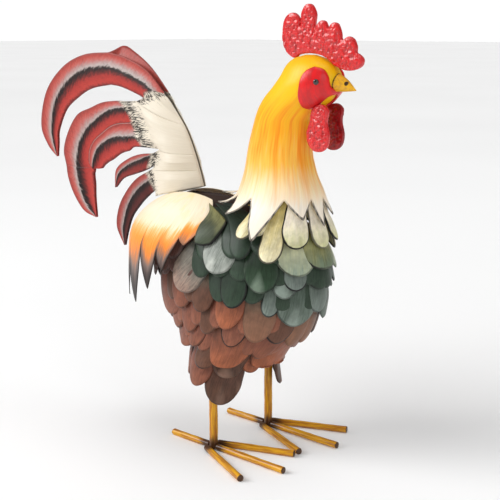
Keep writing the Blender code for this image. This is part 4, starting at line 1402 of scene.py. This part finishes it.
@dataclass
class Saddle:
    """The two domed plates over the rump, each ending in hanging fingers."""

    centre: tuple[float, float] = (-75, 225)
    radii: tuple[float, float, float] = (97, 74, 68)
    top_width: float = 20
    taper: float = 0.03
    sweep: float = 0.25
    sweep_heights: tuple[float, float] = (200, 285)
    flare: float = 4
    fingers: tuple[tuple[float, float], ...] = ((22, 168), (42, 161), (64, 160), (82, 182), (96, 207), (107, 240))
    valleys: tuple[float, ...] = (225, 205, 205, 233, 233, 250, 268)
    steps: int = 12
    rows: int = 44
    thickness: float = 0.9

    def turned(self, angle: Array, height: Array) -> Array:
        """Gives each column's angle at a height: the front columns sweep forward as they rise."""
        low, high = self.sweep_heights
        rise = np.clip((height - low) / (high - low), 0, 1)
        return angle * (1 + self.sweep * rise**2 * (angle / self.fingers[-1][0]) ** 2)

    def columns(self) -> tuple[Array, Array, Array]:
        """Lays the columns over the fingers.

        Returns:
            Angles from the back in degrees, places across each finger, and the fingers' numbers.
        """
        angles, across, which = [], [], []
        for i, (angle, _) in enumerate(self.fingers):
            right = (self.fingers[i + 1][0] + angle) / 2 if i + 1 < len(self.fingers) else None
            left = (self.fingers[i - 1][0] + angle) / 2 if i else None
            left = left if left is not None else 2 * angle - right
            right = right if right is not None else 2 * angle - left
            for u in np.linspace(-1, 1, 2 * self.steps, endpoint=False):
                angles.append(angle + u * ((right - angle) if u > 0 else (angle - left)))
                across.append(u)
                which.append(i)
        angles.append(right)
        across.append(1.0)
        which.append(len(self.fingers) - 1)
        return np.array(angles), np.array(across), np.array(which)

    def plate(self, side: str, sign: int) -> None:
        """Makes one saddle plate.

        Args:
            side: left or right.
            sign: 1 for left, -1 for right.
        """
        angles, across, which = self.columns()
        t = np.linspace(0, 1, self.rows)[:, None]
        top_turn = np.radians(self.turned(angles, np.array(self.sweep_heights[1])))
        top_scale = np.minimum(self.top_width / (self.radii[1] * np.sin(top_turn)), 0.97)
        top = self.centre[1] + self.radii[2] * np.sqrt(1 - top_scale**2)
        valleys = np.array([self.valleys[i + (1 if u > 0 else 0)] for i, u in zip(which, across)])
        tips = np.array([self.fingers[i][1] for i in which], float)
        rounded = np.sqrt(across**2 + 0.002)
        hem = tips + (valleys - tips) * np.arcsin(np.clip(rounded, 0, 1)) * 2 / math.pi
        height = hem + (top - hem) * np.sin(math.pi / 2 * t)
        turn = np.radians(self.turned(angles, height))
        rise = (height - self.centre[1]) / self.radii[2]
        scale = np.where(rise > 0, np.sqrt(np.maximum(1 - rise**2, 0)), 1 - self.taper * rise**2)
        flare = self.flare * (1 - t) ** 2 + 1.0 * (1 - across**2) * np.clip((230 - height) / 40, 0, 1)
        x = self.centre[0] - (self.radii[0] * scale + flare) * np.cos(turn)
        y = (self.radii[1] * scale + flare) * np.sin(turn)
        points = np.stack((x, sign * y, height), axis=-1)
        arc = np.broadcast_to(np.radians(angles) * 85, height.shape)
        line = np.stack((np.radians(angles) * 85, hem), axis=1)
        rim = distance_to_line(np.stack((arc, height), axis=-1).reshape(-1, 2), line)
        front = np.clip((angles - 80) / 25, 0, 1)
        orange_at, grey_at = 252 - 4 * front, 214 + 14 * front
        tone = np.interp(height.ravel(), (150, 200, 214, 252, 290), (1.0, 0.78, 0.66, 0.42, 0.0)).reshape(height.shape)
        lowering = np.clip((hem + 34 - height) / 34, 0, 1) * 0.22
        LOG.debug("orange from %.0f, grey from %.0f", float(orange_at.mean()), float(grey_at.mean()))
        lay = np.stack((arc, height, np.zeros_like(height)), axis=-1)
        # Line strength on the lower fingers: partly painted edge, partly painted shadow
        ink = np.broadcast_to(np.clip((250 - height) / 30, 0, 0.8), height.shape)
        mould = Mould()
        mould.add(
            points, grid_faces(self.rows, len(angles)), flip=sign > 0,
            tone=np.clip(tone + lowering, 0, 1), rim=rim.reshape(height.shape), ink=ink, lay=lay,
        )
        plate = mould.piece(f"saddle_{side}", [Coat.SADDLE.value.build()])
        thicken(plate, self.thickness, -1)
        settle(plate, "cream_enamel", f"saddle_plate_{side}")

    def build(self) -> None:
        """Makes both plates."""
        for side, sign in SIDES:
            self.plate(side, sign)


# --- Feathers --------------------------------------------------------------------------------


@dataclass(frozen=True)
class Feather:
    """One pressed feather, placed by its tip on the bed; lengths in millimetres, angles in degrees."""

    angle: float
    tip: float
    length: float
    width: float
    plume: Plume
    lean: float = 0.0
    layer: float = 0.0
    # Black rim strength on the left and right: partly painted edge, partly painted shadow
    ink: tuple[float, float] = (0.5, 0.5)
    flutes: int = 0
    roundness: float = 2.0
    flare: float = 0.2
    lift: float = 0.8
    crown: float = 2.8

    def mirrored(self) -> "Feather":
        """Gives the same feather on the other side."""
        values = dict(self.__dict__)
        values.update(angle=-self.angle, lean=-self.lean, ink=self.ink[::-1])
        return Feather(**values)


@dataclass
class FeatherRow:
    """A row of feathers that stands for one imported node."""

    name: str
    node: str
    paint: str
    bed: Bed
    feathers: tuple[Feather, ...]
    thickness: float = 0.8
    rows: int = 30
    columns: int = 25

    def add_feather(self, mould: Mould, feather: Feather, number: int, looks: list[Plume]) -> None:
        """Presses one feather into the row's mould.

        Args:
            mould: the row's mould.
            feather: the feather.
            number: its number, which varies its brush strokes.
            looks: the row's paints, in the order of its materials.
        """
        seed = 31.7 * number + 3.1 * feather.angle
        v = (1 - np.cos(np.linspace(0, math.pi / 2, self.rows))) ** 1.2
        t = v[:, None] * feather.length
        u = np.linspace(-1, 1, self.columns)[None, :]
        shoulder = feather.width * 0.62
        near = 1 - np.clip(t / shoulder, 0, 1)
        half = feather.width / 2 * np.maximum(1 - near**feather.roundness, 0) ** (1 / feather.roundness)
        half = half * (1 - 0.15 * np.clip((t - shoulder) / feather.length, 0, 1))
        half = half * (1 + 0.015 * np.sin(u * 9 + seed) * np.sin(t * 0.4 + seed))
        s = u * half
        t = t + 0 * s
        flat = np.stack((s, t), axis=-1)
        outline = np.concatenate((flat[::-1, 0], flat[:, -1]))
        rim = distance_to_line(flat.reshape(-1, 2), outline).reshape(s.shape)
        lean = math.radians(feather.lean)
        over = s * math.cos(lean) + t * math.sin(lean)
        up = t * math.cos(lean) - s * math.sin(lean)
        reach = self.bed.reach(math.radians(feather.angle), feather.tip + feather.length * 0.4)
        angle = math.radians(feather.angle) + over / reach
        height = np.minimum(feather.tip + up, self.bed.rows[-1][0] - 0.5)
        tipward = 1 - t / feather.length
        # Flutes fan out from a point near the root and run over the rounded end
        focus = np.maximum(0.8 * feather.length - t, 0.5)
        fan = np.arctan2(s, focus)
        phase = fan * feather.flutes * 1.25 + 0.5 * np.sin(2.3 * fan + seed)
        strength = (0.6 + 0.4 * np.sin(phase * 0.31 + seed)) * np.clip(tipward * 2.2 - 0.9, 0, 1)
        # The ridge raises the sheet and also lightens its paint, partly as a painted highlight
        ridge = (0.5 + 0.5 * np.cos(2 * phase)) * strength * bool(feather.flutes)
        lift = feather.lift + feather.layer + feather.flare * (feather.length - t)
        lift = lift + feather.crown * (1 - (s / (feather.width / 2)) ** 2) * tipward
        lift = lift - 1.3 * np.clip(1 - rim / 3.5, 0, 1) ** 2 + ridge * 1.1 * np.clip(rim / 2.5, 0.3, 1)
        points = self.bed.lifted(angle, height, lift)
        # Strength of the black rim on each side of the feather: partly painted edge, partly painted shadow
        ink = feather.ink[0] + (feather.ink[1] - feather.ink[0]) * (u + 1) / 2 + 0 * t
        lay = np.stack((s, t, np.full(s.shape, seed)), axis=-1)
        mould.add(
            points, grid_faces(self.rows, self.columns), looks.index(feather.plume),
            tone=tipward, rim=rim, ink=ink, ridge=ridge, lay=lay,
        )

    def build(self) -> None:
        """Presses and dresses the row."""
        looks = sorted({f.plume for f in self.feathers}, key=lambda plume: plume.name)
        mould = Mould()
        for number, feather in enumerate(self.feathers):
            self.add_feather(mould, feather, number, looks)
        row = mould.piece(self.name, [plume.value.build() for plume in looks])
        thicken(row, self.thickness, -1)
        settle(row, self.paint, self.node)


def under(plume: Plume, *tips: tuple[float, float]) -> tuple[Feather, ...]:
    """Gives the feathers that lie under a row and close it.

    Args:
        plume: their paint.
        tips: the angle and height of each tip.

    Returns:
        The feathers.
    """
    return tuple(Feather(angle, tip + 7, 48, 34, plume, 0, -1.6, (0.3, 0.3)) for angle, tip in tips)


def both_sides(*feathers: Feather) -> tuple[Feather, ...]:
    """Gives the feathers and their mirror images, those on the middle line once."""
    return tuple(feathers) + tuple(f.mirrored() for f in feathers if 1 < abs(f.angle) < 179)


class Plumage:
    """All the body feathers, from the hem of the neck down to the legs."""

    def rows(self) -> tuple[FeatherRow, ...]:
        """Lays out the rows round the body, from the top down.

        Returns:
            The rows, each with its feathers on both sides.
        """
        p = Plume
        hem = both_sides(
            Feather(-92, 257, 54, 22, p.YELLOW_CREAM, 14, 0, (0.9, 0.9), flare=0.09, lift=-7),
            Feather(-57, 234, 78, 27, p.YELLOW_CREAM, 2, 0, (0.9, 0.9), flare=0.085, lift=-9),
            Feather(-32, 249, 62, 32, p.PALE_CREAM, 0, 0.8, (1, 1), flare=0.08, lift=-7.5),
            Feather(0, 246, 64, 30, p.PALE_CREAM, 0, 0, (0.8, 0.8), flare=0.08, lift=-8),
            Feather(-75, 262, 50, 30, p.YELLOW_CREAM, 0, 0, (0.5, 0.5), flare=0.05, lift=-8),
        )
        second = both_sides(
            Feather(-88, 242, 44, 23, p.GREEN_LEAF, 45, 4, (0.3, 1), roundness=1.5),
            Feather(-24, 219, 56, 40, p.CREAM_TO_GREEN, 0, 0.5, (0.8, 0.5)),
            Feather(3, 224, 58, 34, p.GOLD_TO_GREEN, 0, 0, (0.3, 1)),
            Feather(-79, 216, 48, 44, p.PALE_FLUTED, 22, 1.2, (1, 0.3), 4),
            Feather(-62, 232, 50, 28, p.DARK_GREEN, 4, -0.6, (0.6, 0.6)),
            *under(p.DARK_GREEN, (-46, 229), (-66, 225), (-12, 224), (-84, 218), (-34, 222)),
            Feather(-112, 222, 44, 34, p.PURPLE_BROWN, 16, -0.4, (0.4, 0.4), 3),
        )
        third = both_sides(
            Feather(-25, 204, 46, 25, p.GREY_GREEN, 0, 1.6, (1, 1)),
            Feather(4, 204, 50, 30, p.DARK_GREEN, 0, 0, (0.3, 0.6)),
            Feather(-48, 200, 56, 40, p.DEEP_FLUTED, 0, 0.9, (0.6, 0.5), 4),
            Feather(-32, 195, 52, 26, p.GREY_FLUTED, -2, -0.4, (0.5, 0.5), 3),
            Feather(-106, 191, 58, 42, p.PINK_FLUTED, 40, 1.0, (0.3, 0.5), 4),
            *under(p.DARK_GREEN, (0, 203), (-12, 202), (-36, 201), (-49, 201), (-62, 203), (-75, 204), (-88, 200)),
            *under(p.PURPLE_BROWN, (-99, 196), (-110, 199), (-122, 193), (-134, 197), (-145, 190), (-157, 192), (-168, 187), (-180, 190)),
            Feather(-122, 204, 52, 36, p.PURPLE_BROWN, 10, -0.2, (0.3, 0.3), 4),
            Feather(-150, 192, 46, 34, p.PURPLE_BROWN),
            Feather(-171, 186, 46, 34, p.PURPLE_BROWN),
        )
        fourth = both_sides(
            Feather(0, 180, 50, 30, p.GREY_GREEN),
            Feather(-20, 167, 54, 42, p.GREY_FLUTED, 0, 0.9, (0.6, 0.4), 4),
            Feather(-41, 175, 50, 21, p.GREY_GREEN, 0, -0.4, (0.8, 0.9)),
            Feather(-66, 181, 58, 33, p.DARK_GREEN, 2, 1.6, (1, 0.9)),
            Feather(-91, 169, 50, 33, p.SMOKY_BROWN, 12, 0.9, (1, 0.1)),
            Feather(-112, 167, 50, 36, p.RED_BROWN, 16),
            Feather(-137, 159, 58, 44, p.RED_BROWN, 40, 0.5, (0.1, 0.2)),
            Feather(-157, 160, 48, 34, p.RED_BROWN),
            Feather(180, 158, 48, 36, p.RED_BROWN),
            *under(p.DARK_GREEN, (-10, 176), (-32, 175), (-54, 180), (-76, 177)),
            *under(p.SMOKY_BROWN, (-99, 170), (-122, 166), (-145, 162), (-168, 160)),
        )
        fifth = both_sides(
            Feather(9, 141, 50, 25, p.TAN_BROWN, -4, 0.6, (0.3, 0.2)),
            Feather(-26, 146, 50, 31, p.SMOKY_BROWN, -8, 0.4, (0.9, 0.9)),
            Feather(-44, 147, 52, 35, p.TAN_BROWN, -8, 1.3, (0.3, 0.1)),
            Feather(-70, 155, 50, 36, p.ORANGE_BROWN, 3, 0.3, (0.1, 0.1)),
            Feather(-62, 136, 50, 31, p.RED_BROWN, -6, 0.2, (1, 0.9)),
            Feather(-86, 145, 48, 33, p.SMOKY_BROWN, 4, 0, (0.3, 0.3)),
            Feather(-106, 142, 50, 35, p.RED_BROWN, 10),
            Feather(-127, 142, 50, 36, p.RED_BROWN, 16, 0.3),
            Feather(-148, 148, 50, 36, p.RED_BROWN, 0, 0.2),
            Feather(-170, 142, 50, 36, p.ORANGE_BROWN),
            *under(p.RED_BROWN, (-8, 142), (-35, 149), (-54, 144), (-78, 146), (-96, 144), (-117, 142), (-138, 146), (-159, 146), (180, 146)),
        )
        sixth = both_sides(
            Feather(-8, 104, 58, 38, p.ORANGE_BROWN, -18, 0.2, (0.5, 0.1)),
            Feather(-30, 124, 50, 32, p.RED_BROWN),
            Feather(-57, 107, 56, 46, p.ORANGE_BROWN, -10, 1.2, (0.2, 0.3)),
            Feather(-79, 100, 54, 32, p.SMOKY_BROWN, -10, 0.5, (1, 0.2)),
            Feather(-101, 124, 50, 36, p.RED_BROWN),
            Feather(-124, 120, 56, 40, p.RED_BROWN, 26, 0.5, (0.2, 0.2)),
            Feather(-152, 122, 50, 36, p.RED_BROWN),
            Feather(180, 116, 50, 36, p.ORANGE_BROWN),
            *under(p.RED_BROWN, (-20, 120), (-44, 120), (-68, 112), (-90, 114), (-112, 126), (-138, 124), (-166, 120)),
        )
        thigh = (
            Feather(-98, 77, 62, 38, p.RED_BROWN, 8, 0.5, (0.1, 0.1), flare=0.05, lift=1),
            Feather(-50, 91, 46, 38, p.BROWN_FLUTED, -8, 0, (0.2, 0.1), 3, flare=0.1, lift=2.5),
            Feather(-61, 58, 70, 44, p.BROWN_FLUTED, 8, 0, (0.4, 0.3), 4, flare=0.03, lift=0),
            Feather(-22, 94, 36, 32, p.ORANGE_BROWN, flare=0.06),
            Feather(-138, 80, 50, 34, p.RED_BROWN, flare=0.05),
        )
        green, brown = "green_enamel", "brown_enamel"
        return (
            FeatherRow("feathers_hem", "feathers_row_1", "cream_enamel", NECK, hem),
            FeatherRow("feathers_second", "feathers_row_2", green, PLUMAGE, second),
            FeatherRow("feathers_third", "feathers_row_3", green, PLUMAGE, third),
            FeatherRow("feathers_fourth", "feathers_row_4", green, PLUMAGE, fourth),
            FeatherRow("feathers_fifth", "feathers_row_5", brown, PLUMAGE, fifth),
            FeatherRow("feathers_sixth", "feathers_row_6", brown, PLUMAGE, sixth),
            FeatherRow("feathers_thigh_right", "thigh_feathers_right", brown, PLUMAGE, thigh),
            FeatherRow("feathers_thigh_left", "thigh_feathers_left", brown, PLUMAGE, tuple(f.mirrored() for f in thigh)),
        )

    def build(self) -> None:
        """Presses every row."""
        for row in self.rows():
            row.build()


# --- Legs ------------------------------------------------------------------------------------


@dataclass
class Legs:
    """The legs and toes of round rod, brushed ochre, with dark welds and cut ends."""

    foot: tuple[float, float] = (FOOT_X, 48)
    radius: float = 5.0
    top: float = 138
    toe_radius: float = 3.9
    toes: tuple[tuple[str, tuple[float, float], tuple[float, float]], ...] = (
        ("back", (-5.6, 0), (-66, 0)), ("middle", (5.6, 0), (106, 0)),
        ("inner", (-2, -9.6), (85, -43.8)), ("outer", (-2, 9.6), (85, 47)),
    )

    def rod(
        self, name: str, start: Array, end: Array, radius: float, dark_start: float, dark_end: float,
        paint: str, node: str, flat: float | None = None,
    ) -> None:
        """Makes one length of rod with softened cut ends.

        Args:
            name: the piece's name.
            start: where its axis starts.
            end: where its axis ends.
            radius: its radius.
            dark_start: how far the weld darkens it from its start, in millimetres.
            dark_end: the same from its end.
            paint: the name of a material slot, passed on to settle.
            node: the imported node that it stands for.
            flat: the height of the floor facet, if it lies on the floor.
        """
        length = float(np.linalg.norm(end - start))
        axis = Vector(end - start).normalized()
        turned = np.array(axis.to_track_quat("Z", "Y").to_matrix())
        stops = np.concatenate(([0.0, 0.25, 0.6, 1.0], np.linspace(1.6, length - 1.6, max(int(length / 1.6), 4)), [length - 1.0, length - 0.6, length - 0.25, length]))
        round_off = np.minimum(np.minimum(stops, length - stops), 1.0)
        sides = 36
        turn = np.linspace(0, math.tau, sides, endpoint=False)
        scale = (radius - 0.7 * (1 - np.sqrt(np.clip(1 - (1 - round_off) ** 2, 0, 1))))[:, None]
        wobble = 0.1 * np.sin(3 * turn[None] + stops[:, None] * 0.11) + 0.08 * np.sin(stops[:, None] * 0.35)
        local = np.stack(
            ((scale + wobble - 0.1) * np.cos(turn), (scale + wobble - 0.1) * np.sin(turn), stops[:, None] + 0 * turn), axis=-1
        )
        points = local @ turned.T + start
        if flat is not None:
            points[..., 2] = np.maximum(points[..., 2], flat)
        near_start = np.clip(1 - stops / max(dark_start, 0.01), 0, 1)
        near_end = np.clip(1 - (length - stops) / max(dark_end, 0.01), 0, 1)
        tone = np.broadcast_to(np.maximum(near_start, near_end)[:, None], local.shape[:2])
        lay = np.stack((radius * np.broadcast_to(turn, tone.shape), np.broadcast_to(stops[:, None], tone.shape), np.full(tone.shape, start[1] + length)), axis=-1)
        faces = grid_faces(len(stops), sides, closed=True)
        faces += [tuple(reversed(range(sides))), tuple(range((len(stops) - 1) * sides, len(stops) * sides))]
        mould = Mould()
        mould.add(points, faces, tone=tone, lay=lay)
        settle(mould.piece(name, [Coat.ROD.value.build()], sharp=60), paint, node)

    def build(self) -> None:
        """Makes both legs and all eight toes."""
        rest = self.toe_radius * math.cos(math.pi / 10)
        for side, sign in SIDES:
            foot = np.array((self.foot[0], sign * self.foot[1], 0.0))
            self.rod(
                f"leg_rod_{side}", foot + (0, 0, 1.0), foot + (0, 0, self.top), self.radius, 26, 20,
                "ochre_enamel", f"leg_{side}",
            )
            for name, start, end in self.toes:
                ends = [foot + (x, sign * y, rest) for x, y in (start, end)]
                self.rod(
                    f"toe_rod_{side}_{name}", *ends, self.toe_radius, 26, 1.6,
                    "ochre_enamel", f"toe_{side}_{name}", flat=0.0,
                )


def dress_shell() -> None:
    """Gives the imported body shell, which shows between the plates and feathers, its own paint."""
    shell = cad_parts["body_shell"]
    coat = Coat.SHELL.value.build()
    for slot in shell.material_slots:
        slot.material = coat
    LOG.info("body_shell: kept, painted dark brown")


# --- Studio ----------------------------------------------------------------------------------


@dataclass
class Studio:
    """A plain pale floor, soft lights and the camera at the photograph's angle."""

    azimuth: float = 41.9
    distance: float = 1.18
    height: float = 0.478
    pitch: float = 11.9
    focal: float = 1059.0
    frame_pixels: float = 500.0
    shift_x: float = 0.0004

    def floor(self) -> None:
        """Lays the floor, wide enough to reach the horizon."""
        shape = bmesh.new()
        bmesh.ops.create_grid(shape, x_segments=8, y_segments=8, size=30)
        mesh = bpy.data.meshes.new("studio_floor")
        shape.to_mesh(mesh)
        shape.free()
        floor = bpy.data.objects.new("studio_floor", mesh)
        bpy.context.scene.collection.objects.link(floor)
        paper = bpy.data.materials.new("paper_pale")
        paper.use_nodes = True
        shader = paper.node_tree.nodes["Principled BSDF"]
        grain = add_node(paper.node_tree, "ShaderNodeTexNoise", None, {"Scale": 40.0})
        tint = add_node(
            paper.node_tree, "ShaderNodeValToRGB", {"stops": ((0.3, "#F6F6F6"), (0.7, "#FAFAFA"))},
            {"Fac": grain.outputs["Fac"]},
        )
        paper.node_tree.links.new(tint.outputs["Color"], shader.inputs["Base Color"])
        shader.inputs["Roughness"].default_value = 0.9
        mesh.materials.append(paper)

    def light(self, name: str, place: tuple[float, float, float], power: float, size: float = 0.0) -> None:
        """Hangs one soft light that faces the sculpture.

        Args:
            name: the light's name.
            place: where it hangs, in metres.
            power: its power: strength for a soft sun, watts for a square.
            size: the side of a square light in metres, or 0 for a soft sun.
        """
        lamp = bpy.data.lights.new(name, "AREA" if size else "SUN")
        if size:
            lamp.size = size
        else:
            lamp.angle = math.radians(40)
        lamp.energy = power
        thing = bpy.data.objects.new(name, lamp)
        thing.location = place
        aim = Vector((0, 0, 0.25)) - Vector(place)
        thing.rotation_euler = aim.to_track_quat("-Z", "Y").to_euler()
        bpy.context.scene.collection.objects.link(thing)

    def camera(self) -> None:
        """Sets the camera where the photograph was taken from."""
        a, p = math.radians(self.azimuth), math.radians(self.pitch)
        eye = Vector((self.distance * math.sin(a) + SHIFT * MM, -self.distance * math.cos(a), self.height))
        forward = Vector((-math.sin(a) * math.cos(p), math.cos(a) * math.cos(p), -math.sin(p)))
        right = Vector((math.cos(a), math.sin(a), 0))
        up = right.cross(forward)
        lens = bpy.data.cameras.new("photo_camera")
        lens.sensor_width = 36
        lens.lens = self.focal / self.frame_pixels * 36
        lens.shift_x = self.shift_x
        thing = bpy.data.objects.new("photo_camera", lens)
        thing.matrix_world = Matrix.Translation(eye) @ Matrix((right, up, -forward)).transposed().to_4x4()
        bpy.context.scene.collection.objects.link(thing)
        bpy.context.scene.camera = thing

    def build(self) -> None:
        """Sets up the floor, the lights, the sky and the camera."""
        self.floor()
        self.camera()
        self.light("key_sun", (-1.5, -1.7, 1.9), 1.5)
        self.light("fill_sun", (2.2, -1.2, 1.2), 0.5)
        self.light("top_sun", (0.2, 0.3, 2.4), 0.7)
        self.light("key_softbox", (-1.5, -1.5, 1.5), 14, 0.9)
        world = bpy.data.worlds.new("studio_sky")
        world.use_nodes = True
        tree = world.node_tree
        rays = add_node(tree, "ShaderNodeLightPath")
        # The sky is white to the eye, softer as a light and dim in reflections, as black flags make it
        seen = add_node(tree, "ShaderNodeMath", {"operation": "MULTIPLY_ADD"}, {0: rays.outputs["Is Camera Ray"], 1: 0.6, 2: 0.42})
        dim = add_node(tree, "ShaderNodeMath", {"operation": "MULTIPLY_ADD"}, {0: rays.outputs["Is Glossy Ray"], 1: -0.22, 2: seen.outputs["Value"]})
        sky = tree.nodes["Background"]
        sky.inputs["Color"].default_value = (1, 1, 1, 1)
        tree.links.new(dim.outputs["Value"], sky.inputs["Strength"])
        bpy.context.scene.world = world
        bpy.context.scene.view_settings.view_transform = "Standard"


def main() -> None:
    """Dresses the rooster piece by piece and sets up the studio."""
    logging.basicConfig(level=logging.INFO, format="%(message)s")
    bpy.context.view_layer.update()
    dress_shell()
    for part in (HeadAndNeck(), Face(), Beak(), Comb(), Wattles(), Tail(), Saddle(), Plumage(), Legs(), Studio()):
        part.build()
        LOG.info("%s done", type(part).__name__)
    bpy.context.view_layer.update()


if __name__ == "__main__":
    main()
